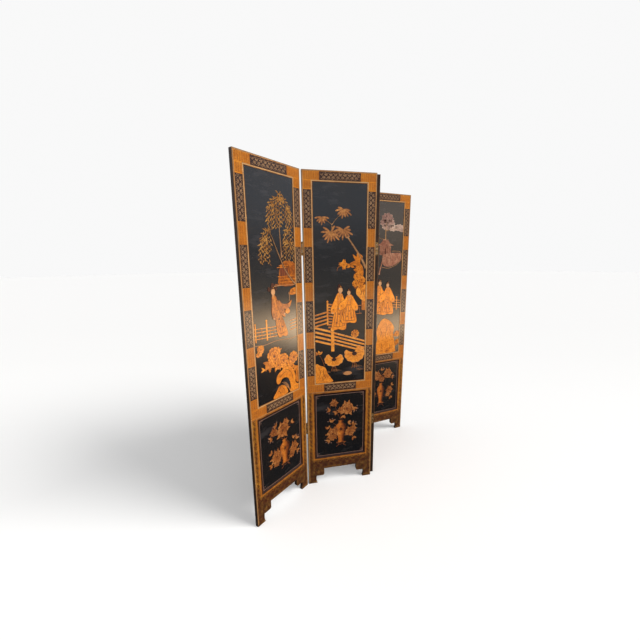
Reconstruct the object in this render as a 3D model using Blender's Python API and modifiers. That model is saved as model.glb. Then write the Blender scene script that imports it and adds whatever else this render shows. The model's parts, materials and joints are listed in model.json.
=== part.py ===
"""Four-panel folding room screen, built the way the real one is joined.

Each panel is a frame of two stiles and three rails with stub tenons, two boards
held by a tongue in the frame's groove, and two brackets glued under the bottom
rail.  The panels hang together on six brass butt hinges, two for each joint.

Panel coordinates: x runs along the panel from its left end, y goes from the
painted front face to the back, z is up.  Every panel is built in them and placed
by an empty that stands on the panel's own hinge axis.
"""
import math

import bmesh
import bpy
from mathutils import Matrix, Vector

# ---- driving dimensions, in metres and degrees --------------------------------
PANEL_HEIGHT = 1.830
PANEL_WIDTH = 0.406
PANEL_THICK = 0.020
FIT_GAP = 0.0003            # clearance between pieces that touch

UPPER_STILE = 0.0551        # stile width beside the tall picture board
LOWER_STILE = 0.0415        # stile width beside the lower board
TOP_RAIL_BOTTOM = 1.7744
MIDDLE_RAIL_TOP = 0.6733
MIDDLE_RAIL_BOTTOM = 0.6054
BOTTOM_RAIL_TOP = 0.1732
BOTTOM_RAIL_BOTTOM = 0.0970

FOOT_WIDTH = 0.054          # at the floor
FOOT_WAIST = 0.0435         # pull of the hollow on the foot's inner side
FOOT_WAIST_HEIGHT = 0.022
FOOT_TOP_WIDTH = 0.0495
BRACKET_BOTTOM = 0.0500
BRACKET_REACH = 0.0985      # from the panel's end to the bracket's far side
BRACKET_ROUND = 0.012
CURVE_STEPS = 6

UPPER_FRONT_RECESS = 0.0015
LOWER_FRONT_RECESS = 0.0040
BACK_RECESS = 0.0020

JOINT_THICK = 0.0060        # tongues and tenons
TONGUE_LENGTH = 0.0060
TENON_LENGTH = 0.0150
TENON_SHOULDER = 0.0100     # tenon set in from the rail's top and bottom
JOINT_END_GAP = 0.0005

END_GAP = 0.0080            # between neighbouring end faces, panels in line
AXIS_OFFSET = 0.0040        # hinge axis outside the face it folds towards
HINGE_HEIGHT = 0.0700
HINGE_CENTRES = {"lower": 0.392, "upper": 1.442}
LEAF_DEPTH = 0.0160
LEAF_THICK = 0.0018
KNUCKLES = 5
KNUCKLE_RADIUS = 0.0036
KNUCKLE_BRIDGE = 0.0022     # the leaf's reach outside the face, at its own knuckles
HOLE_RADIUS = 0.00205
PIN_RADIUS = 0.00195
PIN_HEAD_RADIUS = 0.0032
PIN_HEAD_HEIGHT = 0.0016
ROUND_SIDES = 16

EDGE_SOFTENING = 0.0006

# The zigzag: the direction of panel 2 and the fold at each of the three joints.
PANEL_2_DIRECTION = 12.3
FOLD_1_2 = 41.0
FOLD_2_3 = 87.2
FOLD_3_4 = -75.7
DIRECTIONS = {
    1: PANEL_2_DIRECTION + FOLD_1_2,
    2: PANEL_2_DIRECTION,
    3: PANEL_2_DIRECTION + FOLD_2_3,
    4: PANEL_2_DIRECTION + FOLD_2_3 + FOLD_3_4,
}

# Hinge axes in panel coordinates: which end of which panel, and on which face.
LEFT_FRONT = Vector((-END_GAP / 2, -AXIS_OFFSET, 0.0))
LEFT_BACK = Vector((-END_GAP / 2, PANEL_THICK + AXIS_OFFSET, 0.0))
RIGHT_FRONT = Vector((PANEL_WIDTH + END_GAP / 2, -AXIS_OFFSET, 0.0))
RIGHT_BACK = Vector((PANEL_WIDTH + END_GAP / 2, PANEL_THICK + AXIS_OFFSET, 0.0))

GILT = (0.55, 0.30, 0.08, 1.0)
BLACK = (0.012, 0.012, 0.016, 1.0)
BRASS = (0.62, 0.44, 0.20, 1.0)
FINISHES = {
    "stile": (GILT, 0.45, 0.35),
    "rail": (GILT, 0.45, 0.35),
    "bracket": (GILT, 0.50, 0.30),
    "board": (BLACK, 0.20, 0.0),
    "leaf": (BRASS, 0.35, 1.0),
    "pin": (BRASS, 0.30, 1.0),
}


def turned(angle, vector):
    """The vector turned about the vertical, the angle in degrees."""
    return Matrix.Rotation(math.radians(angle), 3, "Z") @ vector


# ---- plan: where each panel's front left corner and each axis stand ------------
corner = {2: Vector((0.0, 0.0, 0.0))}
axis = {"1_2": corner[2] + turned(DIRECTIONS[2], LEFT_FRONT)}
corner[1] = axis["1_2"] - turned(DIRECTIONS[1], RIGHT_FRONT)
axis["2_3"] = corner[2] + turned(DIRECTIONS[2], RIGHT_BACK)
corner[3] = axis["2_3"] - turned(DIRECTIONS[3], LEFT_BACK)
axis["3_4"] = corner[3] + turned(DIRECTIONS[3], RIGHT_FRONT)
corner[4] = axis["3_4"] - turned(DIRECTIONS[4], LEFT_FRONT)

plan_points = [
    corner[n] + turned(DIRECTIONS[n], Vector((x, y, 0.0)))
    for n in corner for x in (0.0, PANEL_WIDTH) for y in (0.0, PANEL_THICK)
]
plan_centre = Vector((
    (min(p.x for p in plan_points) + max(p.x for p in plan_points)) / 2,
    (min(p.y for p in plan_points) + max(p.y for p in plan_points)) / 2,
    0.0,
))

# ---- an empty scene and the two collections ------------------------------------
for leftover in list(bpy.data.objects):
    bpy.data.objects.remove(leftover, do_unlink=True)

screen = bpy.data.collections.new("folding_screen")
cutters = bpy.data.collections.new("cutters")
for made in (screen, cutters):
    bpy.context.scene.collection.children.link(made)


def new_empty(name, parent, location, turn):
    empty = bpy.data.objects.new(name, None)
    empty.empty_display_size = 0.05
    empty.parent = parent
    empty.location = location
    empty.rotation_euler = (0.0, 0.0, math.radians(turn))
    screen.objects.link(empty)
    return empty


def new_material(name, kind):
    colour, roughness, metallic = FINISHES[kind]
    material = bpy.data.materials.new(name)
    material.use_nodes = True
    shader = material.node_tree.nodes["Principled BSDF"]
    shader.inputs["Base Color"].default_value = colour
    shader.inputs["Roughness"].default_value = roughness
    shader.inputs["Metallic"].default_value = metallic
    return material


def box_into(mesh_build, low, high):
    """Add a box between two opposite corners to a bmesh."""
    size = [b - a for a, b in zip(low, high)]
    middle = [(a + b) / 2 for a, b in zip(low, high)]
    bmesh.ops.create_cube(
        mesh_build, size=1.0,
        matrix=Matrix.Translation(middle) @ Matrix.Diagonal((*size, 1.0)))


def cylinder_into(mesh_build, centre, radius, low, high):
    """Add an upright cylinder, its wall smooth and its ends flat."""
    made = bmesh.ops.create_cone(
        mesh_build, cap_ends=True, segments=ROUND_SIDES, radius1=radius, radius2=radius,
        depth=high - low, matrix=Matrix.Translation((centre[0], centre[1], (low + high) / 2)))
    walls = {face for vert in made["verts"] for face in vert.link_faces if len(face.verts) == 4}
    for face in walls:
        face.smooth = True


def mesh_object(name, mesh_build, collection):
    mesh = bpy.data.meshes.new(name)
    mesh_build.to_mesh(mesh)
    mesh_build.free()
    made = bpy.data.objects.new(name, mesh)
    collection.objects.link(made)
    return made


def new_cutter(name, boxes, placing):
    """Several separate boxes in one hidden cutter."""
    build = bmesh.new()
    for low, high in boxes:
        box_into(build, low, high)
    cutter = mesh_object(name, build, cutters)
    cutter.hide_render = True
    cutter.display_type = "WIRE"
    place(cutter, placing)
    return cutter


def place(piece, placing):
    """Hang a piece, built in panel coordinates, on its panel's empty."""
    empty, origin_in_panel = placing
    piece.parent = empty
    piece.location = -origin_in_panel


def finish(piece, kind, placing):
    piece.data.materials.clear()
    piece.data.materials.append(new_material(piece.name + "_finish", kind))
    place(piece, placing)


def boolean(piece, operation, tool):
    step = piece.modifiers.new(operation.lower(), "BOOLEAN")
    step.operation = operation
    step.solver = "EXACT"
    step.object = tool


def soften(piece):
    """Take the sharp arris off a timber member."""
    bevel = piece.modifiers.new("softened edges", "BEVEL")
    bevel.width = EDGE_SOFTENING
    bevel.segments = 1
    bevel.limit_method = "ANGLE"
    bevel.angle_limit = math.radians(50)


def board_from_outline(name, outline):
    """A flat board sawn to an outline of (x, z) points, as thick as the panel."""
    curve = bpy.data.curves.new(name, "CURVE")
    curve.dimensions = "2D"
    curve.fill_mode = "BOTH"
    curve.extrude = PANEL_THICK / 2
    line = curve.splines.new("POLY")
    line.points.add(len(outline) - 1)
    for point, (x, z) in zip(line.points, outline):
        point.co = (x, z, 0.0, 1.0)
    line.use_cyclic_u = True
    drawn = bpy.data.objects.new(name + "_outline", curve)
    screen.objects.link(drawn)
    bpy.context.view_layer.update()
    mesh = bpy.data.meshes.new_from_object(drawn.evaluated_get(bpy.context.evaluated_depsgraph_get()))
    bpy.data.objects.remove(drawn, do_unlink=True)

    stand_up = Matrix.Translation((0.0, PANEL_THICK / 2, 0.0)) @ Matrix.Rotation(math.pi / 2, 4, "X")
    build = bmesh.new()
    build.from_mesh(mesh)
    bmesh.ops.remove_doubles(build, verts=build.verts, dist=1e-6)
    bmesh.ops.transform(build, matrix=stand_up, verts=build.verts)
    bmesh.ops.dissolve_limit(build, angle_limit=0.01, verts=build.verts, edges=build.edges)
    bmesh.ops.recalc_face_normals(build, faces=build.faces)
    bpy.data.meshes.remove(mesh)
    return mesh_object(name, build, screen)


def mirrored(outline):
    """The same outline for the panel's right-hand end."""
    return [(PANEL_WIDTH - x, z) for x, z in reversed(outline)]


# ---- outlines shared by the four panels ----------------------------------------
def foot_hollow():
    """The hollow inner side of the foot, from the floor up to the bracket."""
    start = Vector((FOOT_WIDTH, 0.0))
    pull = Vector((FOOT_WAIST, FOOT_WAIST_HEIGHT))
    end = Vector((FOOT_TOP_WIDTH, BRACKET_BOTTOM - FIT_GAP))
    points = []
    for step in range(CURVE_STEPS + 1):
        t = step / CURVE_STEPS
        points.append(tuple((1 - t) ** 2 * start + 2 * t * (1 - t) * pull + t * t * end))
    return points


stile_outline = [(0.0, 0.0)] + foot_hollow() + [
    (LOWER_STILE, BRACKET_BOTTOM - FIT_GAP),
    (LOWER_STILE, MIDDLE_RAIL_BOTTOM),
    (UPPER_STILE, MIDDLE_RAIL_BOTTOM),
    (UPPER_STILE, PANEL_HEIGHT),
    (0.0, PANEL_HEIGHT),
]

round_centre = (BRACKET_REACH - BRACKET_ROUND, BRACKET_BOTTOM + BRACKET_ROUND)
bracket_outline = [(LOWER_STILE + FIT_GAP, BRACKET_BOTTOM)] + [
    (round_centre[0] + BRACKET_ROUND * math.sin(math.pi / 2 * step / CURVE_STEPS),
     round_centre[1] - BRACKET_ROUND * math.cos(math.pi / 2 * step / CURVE_STEPS))
    for step in range(CURVE_STEPS + 1)
] + [
    (BRACKET_REACH, BOTTOM_RAIL_BOTTOM - FIT_GAP),
    (LOWER_STILE + FIT_GAP, BOTTOM_RAIL_BOTTOM - FIT_GAP),
]

RAILS = {  # name: (side inset, bottom, top)
    "top_rail": (UPPER_STILE, TOP_RAIL_BOTTOM, PANEL_HEIGHT),
    "middle_rail": (UPPER_STILE, MIDDLE_RAIL_BOTTOM, MIDDLE_RAIL_TOP),
    "bottom_rail": (LOWER_STILE, BOTTOM_RAIL_BOTTOM, BOTTOM_RAIL_TOP),
}
BOARDS = {  # name: (side inset, bottom, top, front recess)
    "upper_board": (UPPER_STILE, MIDDLE_RAIL_TOP, TOP_RAIL_BOTTOM, UPPER_FRONT_RECESS),
    "lower_board": (LOWER_STILE, BOTTOM_RAIL_TOP, MIDDLE_RAIL_BOTTOM, LOWER_FRONT_RECESS),
}


def joint_bar(inset, bottom, top, length, grow=0.0):
    """Corners of a tongue or tenon bar through the middle of the panel's thickness."""
    half = JOINT_THICK / 2 + grow
    low = (inset - length, PANEL_THICK / 2 - half, bottom)
    high = (PANEL_WIDTH - inset + length, PANEL_THICK / 2 + half, top)
    return low, high


def build_panel(number, placing):
    """Seven frame and board pieces and two brackets for one panel."""
    prefix = "panel_%d_" % number
    grooves = new_cutter(prefix + "grooves", [
        joint_bar(inset, bottom - TONGUE_LENGTH - JOINT_END_GAP, top + TONGUE_LENGTH + JOINT_END_GAP,
                  TONGUE_LENGTH + JOINT_END_GAP, FIT_GAP)
        for inset, bottom, top, _ in BOARDS.values()], placing)
    mortises = new_cutter(prefix + "mortises", [
        joint_bar(inset, bottom + TENON_SHOULDER - FIT_GAP, top - TENON_SHOULDER + FIT_GAP,
                  TENON_LENGTH + JOINT_END_GAP, FIT_GAP)
        for inset, bottom, top in RAILS.values()], placing)

    for side, outline in (("left", stile_outline), ("right", mirrored(stile_outline))):
        stile = board_from_outline(prefix + side + "_stile", outline)
        boolean(stile, "DIFFERENCE", grooves)
        boolean(stile, "DIFFERENCE", mortises)
        soften(stile)
        finish(stile, "stile", placing)

    for name, (inset, bottom, top) in RAILS.items():
        build = bmesh.new()
        box_into(build, (inset + FIT_GAP, 0.0, bottom),
                 (PANEL_WIDTH - inset - FIT_GAP, PANEL_THICK, top))
        rail = mesh_object(prefix + name, build, screen)
        tenon = new_cutter(prefix + name + "_tenons", [
            joint_bar(inset, bottom + TENON_SHOULDER, top - TENON_SHOULDER, TENON_LENGTH)], placing)
        boolean(rail, "UNION", tenon)
        boolean(rail, "DIFFERENCE", grooves)
        soften(rail)
        finish(rail, "rail", placing)

    for name, (inset, bottom, top, recess) in BOARDS.items():
        build = bmesh.new()
        box_into(build, (inset + FIT_GAP, recess, bottom + FIT_GAP),
                 (PANEL_WIDTH - inset - FIT_GAP, PANEL_THICK - BACK_RECESS, top - FIT_GAP))
        board = mesh_object(prefix + name, build, screen)
        tongue = new_cutter(prefix + name + "_tongue", [
            joint_bar(inset, bottom - TONGUE_LENGTH, top + TONGUE_LENGTH, TONGUE_LENGTH)], placing)
        boolean(board, "UNION", tongue)
        finish(board, "board", placing)

    for side, outline in (("left", bracket_outline), ("right", mirrored(bracket_outline))):
        bracket = board_from_outline(prefix + side + "_bracket", outline)
        soften(bracket)
        finish(bracket, "bracket", placing)


def build_leaf(name, axis_in_panel, own_knuckles, centre_height, placing):
    """One hinge leaf screwed on a panel's end face, with its own knuckles."""
    at_right = axis_in_panel.x > PANEL_WIDTH / 2
    at_back = axis_in_panel.y > PANEL_THICK / 2
    end_x, outward = (PANEL_WIDTH, 1.0) if at_right else (0.0, -1.0)
    face_y, facing = (PANEL_THICK, 1.0) if at_back else (0.0, -1.0)
    bottom = centre_height - HINGE_HEIGHT / 2
    step = HINGE_HEIGHT / KNUCKLES

    def slab(near_y, far_y, low_z, high_z):
        xs = sorted((end_x + outward * FIT_GAP, end_x + outward * (FIT_GAP + LEAF_THICK)))
        ys = sorted((face_y + facing * near_y, face_y + facing * far_y))
        return (xs[0], ys[0], low_z), (xs[1], ys[1], high_z)

    build = bmesh.new()
    box_into(build, *slab(-LEAF_DEPTH, FIT_GAP, bottom, bottom + HINGE_HEIGHT))
    leaf = mesh_object(name, build, screen)

    build = bmesh.new()
    for knuckle in own_knuckles:
        low = bottom + knuckle * step + FIT_GAP / 2
        high = low + step - FIT_GAP
        box_into(build, *slab(-AXIS_OFFSET, KNUCKLE_BRIDGE, low, high))
    bridges = mesh_object(name + "_bridges", build, cutters)
    build = bmesh.new()
    for knuckle in own_knuckles:
        low = bottom + knuckle * step + FIT_GAP / 2
        cylinder_into(build, axis_in_panel, KNUCKLE_RADIUS, low, low + step - FIT_GAP)
    rolls = mesh_object(name + "_rolls", build, cutters)
    build = bmesh.new()
    cylinder_into(build, axis_in_panel, HOLE_RADIUS, bottom - LEAF_DEPTH,
                  bottom + HINGE_HEIGHT + LEAF_DEPTH)
    bore = mesh_object(name + "_bore", build, cutters)
    for tool, operation in ((bridges, "UNION"), (rolls, "UNION"), (bore, "DIFFERENCE")):
        tool.hide_render = True
        tool.display_type = "WIRE"
        place(tool, placing)
        boolean(leaf, operation, tool)
    finish(leaf, "leaf", placing)


def build_pin(name, axis_in_panel, centre_height, placing):
    """A hinge pin turned with a low head at each end, spun about its own axis."""
    half = HINGE_HEIGHT / 2
    profile = [
        (0.0, -half - FIT_GAP - PIN_HEAD_HEIGHT),
        (PIN_HEAD_RADIUS * 0.7, -half - FIT_GAP - PIN_HEAD_HEIGHT),
        (PIN_HEAD_RADIUS, -half - FIT_GAP - PIN_HEAD_HEIGHT * 0.5),
        (PIN_HEAD_RADIUS, -half - FIT_GAP),
        (PIN_RADIUS, -half - FIT_GAP),
    ]
    profile += [(radius, -height) for radius, height in reversed(profile)]
    build = bmesh.new()
    verts = [build.verts.new((radius, 0.0, centre_height + height)) for radius, height in profile]
    edges = [build.edges.new(pair) for pair in zip(verts, verts[1:])]
    bmesh.ops.spin(build, geom=verts + edges, cent=(0, 0, 0), axis=(0, 0, 1),
                   angle=2 * math.pi, steps=ROUND_SIDES, use_merge=True)
    bmesh.ops.remove_doubles(build, verts=build.verts, dist=1e-6)
    bmesh.ops.recalc_face_normals(build, faces=build.faces)
    for face in build.faces:
        face.smooth = abs(face.normal.z) < 0.1
    pin = mesh_object(name, build, screen)
    finish(pin, "pin", placing)
    pin.data.transform(Matrix.Translation((axis_in_panel.x, axis_in_panel.y, 0.0)))


# ---- the four panels on their axes ----------------------------------------------
root = new_empty("screen_root", None, -plan_centre, 0.0)
panel_2 = new_empty("panel_2_place", root, corner[2], DIRECTIONS[2])
panel_1 = new_empty("panel_1_axis", root, axis["1_2"], DIRECTIONS[1])
panel_3 = new_empty("panel_3_axis", root, axis["2_3"], DIRECTIONS[3])
panel_4 = new_empty("panel_4_axis", root, axis["3_4"], DIRECTIONS[4])

PLACING = {
    1: (panel_1, RIGHT_FRONT),
    2: (panel_2, Vector((0.0, 0.0, 0.0))),
    3: (panel_3, LEFT_BACK),
    4: (panel_4, LEFT_FRONT),
}
for number, placing in PLACING.items():
    build_panel(number, placing)

# ---- six hinges: (joint, left panel, its axis, right panel, its axis, pin's panel)
JOINTS = (
    ("1_2", 1, RIGHT_FRONT, 2, LEFT_FRONT, 2),
    ("2_3", 2, RIGHT_BACK, 3, LEFT_BACK, 2),
    ("3_4", 3, RIGHT_FRONT, 4, LEFT_FRONT, 3),
)
for joint, left, left_axis, right, right_axis, pin_panel in JOINTS:
    for level, height in HINGE_CENTRES.items():
        prefix = "hinge_%s_%s_" % (joint, level)
        build_leaf(prefix + "left_leaf", left_axis, (0, 2, 4), height, PLACING[left])
        build_leaf(prefix + "right_leaf", right_axis, (1, 3), height, PLACING[right])
        pin_axis = left_axis if pin_panel == left else right_axis
        build_pin(prefix + "pin", pin_axis, height, PLACING[pin_panel])

bpy.context.view_layer.update()
for joint, place_in_plan in axis.items():
    print("hinge axis", joint, [round(v, 5) for v in (place_in_plan - plan_centre)])
for number, place_in_plan in corner.items():
    print("panel", number, "corner", [round(v, 5) for v in (place_in_plan - plan_centre)],
          "direction", round(DIRECTIONS[number], 2))
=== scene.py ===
# %% [markdown]
# # A four-panel folding screen in black lacquer and gilt
# The frame, boards and hinges come from the imported model and stay as they are.
# This lesson adds what makes the screen worth looking at: lacquer, gold leaf,
# raised gilt pictures, fret and scroll borders, mouldings and hinge screws.
# It starts by loading the imported model.

# %% The imported model
import json
import random
from math import cos, hypot, pi, radians, sin, sqrt

import bmesh
import bpy
from mathutils import Matrix, Vector


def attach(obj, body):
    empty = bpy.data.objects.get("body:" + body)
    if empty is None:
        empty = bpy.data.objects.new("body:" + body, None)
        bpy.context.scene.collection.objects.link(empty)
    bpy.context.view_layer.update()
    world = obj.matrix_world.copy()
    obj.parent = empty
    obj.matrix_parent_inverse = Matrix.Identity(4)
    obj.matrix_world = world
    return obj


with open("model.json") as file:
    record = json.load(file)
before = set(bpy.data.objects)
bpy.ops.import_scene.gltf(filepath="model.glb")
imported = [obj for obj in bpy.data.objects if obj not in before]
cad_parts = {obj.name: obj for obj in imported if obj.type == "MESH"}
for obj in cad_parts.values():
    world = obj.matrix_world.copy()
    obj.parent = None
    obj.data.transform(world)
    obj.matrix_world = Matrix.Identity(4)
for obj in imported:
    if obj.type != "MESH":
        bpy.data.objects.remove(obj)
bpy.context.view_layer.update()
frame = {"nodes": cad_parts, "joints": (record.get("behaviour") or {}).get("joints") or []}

# %% [markdown]
# ## Panel coordinates
# Everything painted or laid on a panel is drawn flat, as a craftsman draws on a board
# on trestles: x along the panel from its left end, z up, and y into the panel from the
# painted face. One matrix for each panel then stands the work up in its place in the
# zigzag. The matrices start from the hinge axes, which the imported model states, so the
# drawing can't drift away from the wood.

# %% Panel sizes and placing
PANEL_WIDTH, PANEL_HEIGHT, PANEL_THICK = 0.406, 1.83, 0.02
LOWER_STILE = 0.0415                               # a stile's width beside the lower board
MIDDLE_RAIL_BOTTOM, BOTTOM_RAIL_TOP, BOTTOM_RAIL_BOTTOM = 0.6054, 0.1732, 0.097
UPPER_RECESS, LOWER_RECESS, BACK_RECESS = 0.0015, 0.004, 0.002
HALF_GAP, AXIS_OFFSET = 0.004, 0.004               # hinge axis from the end and the face
DIRECTION = {1: 53.3, 2: 12.3, 3: 99.5, 4: 23.8}   # each panel's heading, in degrees
PANELS = (1, 2, 3, 4)

hinge_axis = {j["name"]: Vector((j["pos_m"][0], j["pos_m"][1], 0.0)) for j in frame["joints"]}
front_y, back_y = -AXIS_OFFSET, PANEL_THICK + AXIS_OFFSET
STANDS_ON = {   # the axis each panel is measured from, in that panel's own coordinates
    1: ("fold_1_2", Vector((PANEL_WIDTH + HALF_GAP, front_y, 0))),
    2: ("fold_1_2", Vector((-HALF_GAP, front_y, 0))),
    3: ("fold_2_3", Vector((-HALF_GAP, back_y, 0))),
    4: ("fold_3_4", Vector((-HALF_GAP, front_y, 0))),
}
placing = {}
for n, (joint, own) in STANDS_ON.items():
    turn = Matrix.Rotation(radians(DIRECTION[n]), 4, "Z")
    placing[n] = Matrix.Translation(hinge_axis[joint]) @ turn @ Matrix.Translation(-own)
    print("panel", n, "corner at", [round(v, 4) for v in placing[n].translation])

# %% [markdown]
# ## Floor, camera and light
# The screen stands on a plain pale floor in a bright studio. A broad light from the
# right, a little in front, throws one soft shadow to the left and away. The rest comes
# from the surroundings, brighter in front than behind, as from a large screen of cloth
# beside the camera. Lacquer shows what it mirrors, so glossy rays see a simple room of
# their own: dark low down, a bright band just under the horizon, and grey above it.

# %% Floor
bpy.ops.mesh.primitive_circle_add(vertices=96, radius=40.0, fill_type="NGON")
floor = bpy.context.object
floor.name = "studio_floor"
floor.visible_glossy = False

# %% Camera
LENS, SENSOR = 17.77, 36.0
CAMERA_AT = Vector((-0.0943, -1.9239, 1.3852))
PITCH_DOWN, ROLL = 13.19, -0.47
SHIFT = (-0.0149, 0.0212)
camera = bpy.data.objects.new("camera", bpy.data.cameras.new("camera"))
camera.data.lens, camera.data.sensor_width = LENS, SENSOR
camera.data.shift_x, camera.data.shift_y = SHIFT
camera.matrix_world = (Matrix.Translation(CAMERA_AT)
                       @ Matrix.Rotation(radians(90 - PITCH_DOWN), 4, "X")
                       @ Matrix.Rotation(radians(ROLL), 4, "Z"))
bpy.context.scene.collection.objects.link(camera)
bpy.context.scene.camera = camera
bpy.context.scene.view_settings.view_transform = "Standard"

# %% Lamp
SUN_FROM = Vector((0.80, -0.19, 0.62))       # toward the light
SUN_STRENGTH, SUN_SPREAD = 2.55, radians(31)
SUN_COLOUR = (1.0, 0.985, 0.96)
sun = bpy.data.objects.new("key_lamp", bpy.data.lights.new("key_lamp", "SUN"))
sun.data.energy, sun.data.angle, sun.data.color = SUN_STRENGTH, SUN_SPREAD, SUN_COLOUR
sun.rotation_euler = SUN_FROM.to_track_quat("Z", "Y").to_euler()
sun.visible_glossy = False
bpy.context.scene.collection.objects.link(sun)

# %% [markdown]
# The surroundings are one small node network on the world, with three answers: what the
# camera sees behind the screen, what lights matt surfaces, and what glossy ones mirror.

# %% Surroundings
world = bpy.data.worlds.new("studio")
bpy.context.scene.world = world
world.use_nodes = True


def wire(tree, kind, settings=None, **inputs):
    """Add a node, set what is given, and link any input that is another node's socket."""
    node = tree.nodes.new(kind)
    for key, value in (settings or {}).items():
        setattr(node, key, value)
    for key, value in inputs.items():
        socket = node.inputs[int(key[1:])] if key[0] == "i" and key[1:].isdigit() else \
            node.inputs[key.replace("_", " ")]
        if isinstance(value, bpy.types.NodeSocket):
            tree.links.new(value, socket)
        else:
            socket.default_value = value
    return node


def sums(tree, operation, *values):
    """A Math node on numbers or sockets; returns its result socket."""
    named = {"i%d" % k: v for k, v in enumerate(values)}
    return wire(tree, "ShaderNodeMath", {"operation": operation}, **named).outputs[0]


def product(tree, *values):
    """The values multiplied together, the last two first."""
    *rest, result = values
    while rest:
        result = sums(tree, "MULTIPLY", rest.pop(), result)
    return result


def swing(tree, value, amount, base):
    """Base, plus the amount times how far the value stands from a half."""
    return sums(tree, "MULTIPLY_ADD", sums(tree, "SUBTRACT", value, 0.5), amount, base)


def span(tree, value, start, end, low=0.0, high=1.0, kind="LINEAR"):
    """The value carried from start..end to low..high."""
    return wire(tree, "ShaderNodeMapRange", {"interpolation_type": kind}, Value=value,
                i1=start, i2=end, i3=low, i4=high).outputs[0]


def ramp(tree, factor, stops, ease="LINEAR"):
    """A colour ramp with the given (place, colour) stops."""
    node = wire(tree, "ShaderNodeValToRGB", Fac=factor)
    node.color_ramp.interpolation = ease
    while len(node.color_ramp.elements) < len(stops):
        node.color_ramp.elements.new(0.5)
    for element, (place, colour) in zip(node.color_ramp.elements, stops):
        element.position = place
        element.color = (*colour, 1.0) if len(colour) == 3 else colour
    return node.outputs["Color"]


def mixed(tree, factor, a, b, blend="MIX"):
    """Mix two colours; returns the colour socket."""
    node = wire(tree, "ShaderNodeMix", {"data_type": "RGBA", "blend_type": blend})
    for index, value in ((0, factor), (6, a), (7, b)):
        if isinstance(value, bpy.types.NodeSocket):
            tree.links.new(value, node.inputs[index])
        else:
            node.inputs[index].default_value = (*value, 1.0) if index else value
    return node.outputs[2]


sky = world.node_tree
sky.nodes.clear()
ray = wire(sky, "ShaderNodeTexCoord").outputs["Generated"]
ray_x, ray_y, ray_z = wire(sky, "ShaderNodeSeparateXYZ", Vector=ray).outputs
height = sums(sky, "MULTIPLY_ADD", ray_z, 1.0, 0.5)      # -0.5..0.5 becomes 0..1
room = ramp(sky, height, [
    (0.05, (0.03, 0.03, 0.03)), (0.14, (0.07, 0.06, 0.055)), (0.24, (0.42, 0.39, 0.36)),
    (0.42, (0.66, 0.64, 0.60)), (0.50, (0.46, 0.47, 0.49)), (0.66, (0.95, 1.02, 1.14)),
    (0.95, (1.00, 1.04, 1.10))], "EASE")


def bell(tree, value, centre, spread):
    """A smooth bump of height 1 at the centre."""
    off = sums(tree, "DIVIDE", sums(tree, "SUBTRACT", value, centre), spread)
    return sums(tree, "POWER", 2.718, product(tree, -1.0, off, off))


STREAK = (-0.205, 0.05)                         # height and spread of a low bright streak
LAMPS = ((0.24, 0.11), (-0.47, 0.09))            # where along it two lamps stand, and their spread
LAMP_BOOST, STREAK_LEVEL, WARM = 14.0, 7.5, (0.71, 0.43)
PANE, PANE_SIDE, PANE_LEVEL = (0.10, 0.12), (-0.54, 0.16), 2.6
to_right = sums(sky, "POWER", sums(sky, "MAXIMUM", ray_x, 0.0), 2.2)
strength = sums(sky, "MULTIPLY_ADD", bell(sky, ray_y, *LAMPS[0]), LAMP_BOOST,
                sums(sky, "MULTIPLY_ADD", bell(sky, ray_y, *LAMPS[1]), LAMP_BOOST, STREAK_LEVEL))
streak = product(sky, bell(sky, ray_z, *STREAK), to_right, strength)
pane = product(sky, bell(sky, ray_z, *PANE), bell(sky, ray_y, *PANE_SIDE))
glow = sums(sky, "ADD", streak, product(sky, PANE_LEVEL, pane, to_right))
green, blue = (product(sky, glow, share) for share in WARM)
glow_colour = wire(sky, "ShaderNodeCombineColor", Red=glow, Green=green, Blue=blue).outputs[0]
room_glow = mixed(sky, 1.0, room, glow_colour, "ADD")
facing = sums(sky, "MULTIPLY_ADD", ray_x, -0.20, sums(sky, "MULTIPLY_ADD", ray_y, -0.88,
                                                     sums(sky, "MULTIPLY", ray_z, 0.42)))
softness = sums(sky, "MULTIPLY_ADD", sums(sky, "MAXIMUM", facing, 0.0), 0.74, 0.32)
matt = wire(sky, "ShaderNodeCombineColor", Red=softness, Green=softness, Blue=softness).outputs[0]
sight = wire(sky, "ShaderNodeLightPath").outputs
seen = mixed(sky, sight["Is Glossy Ray"], matt, room_glow)
seen = mixed(sky, sight["Is Camera Ray"], seen, (0.945, 0.945, 0.945))
background = wire(sky, "ShaderNodeBackground", Color=seen, Strength=1.0)
wire(sky, "ShaderNodeOutputWorld", Surface=background.outputs[0])

# %% [markdown]
# ## Finishes
# A lacquered and gilded surface is many thin coats. Every finish here is one node
# network: a colour that drifts over the surface, a fine grain for roughness and bump,
# and a clear coat on top. Raised work carries a number called "tone" on its points,
# 0 for the dark root of a stroke and 1 for its bright crest, and the colour ramp of the
# paint reads it, so one pot of gilt paint can shade a whole picture. The dark root is
# painted shade and the bright crest a painted highlight; tone also sets which shapes
# are gilt lighter or darker than others.

# %% Painted finishes
SPECULAR = 0.20
HAND_HEIGHT, HAND_REACH = (0.86, 1.16), 0.10     # rubbed bright where hands fold the panels


def new_finish(name, roughness, metallic, coat, coat_roughness):
    """An empty material with one Principled shader; returns (material, tree, shader)."""
    material = bpy.data.materials.new(name)
    material.use_nodes = True
    tree = material.node_tree
    tree.nodes.clear()
    shader = wire(tree, "ShaderNodeBsdfPrincipled", Roughness=roughness, Metallic=metallic)
    shader.inputs["Specular IOR Level"].default_value = SPECULAR
    shader.inputs["Coat Weight"].default_value = coat
    shader.inputs["Coat Roughness"].default_value = coat_roughness
    wire(tree, "ShaderNodeOutputMaterial", Surface=shader.outputs[0])
    return material, tree, shader


def noise(tree, place, scale, detail=3.0, roughness=0.55):
    return wire(tree, "ShaderNodeTexNoise", Vector=place, Scale=scale, Detail=detail,
                Roughness=roughness).outputs["Fac"]


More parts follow.
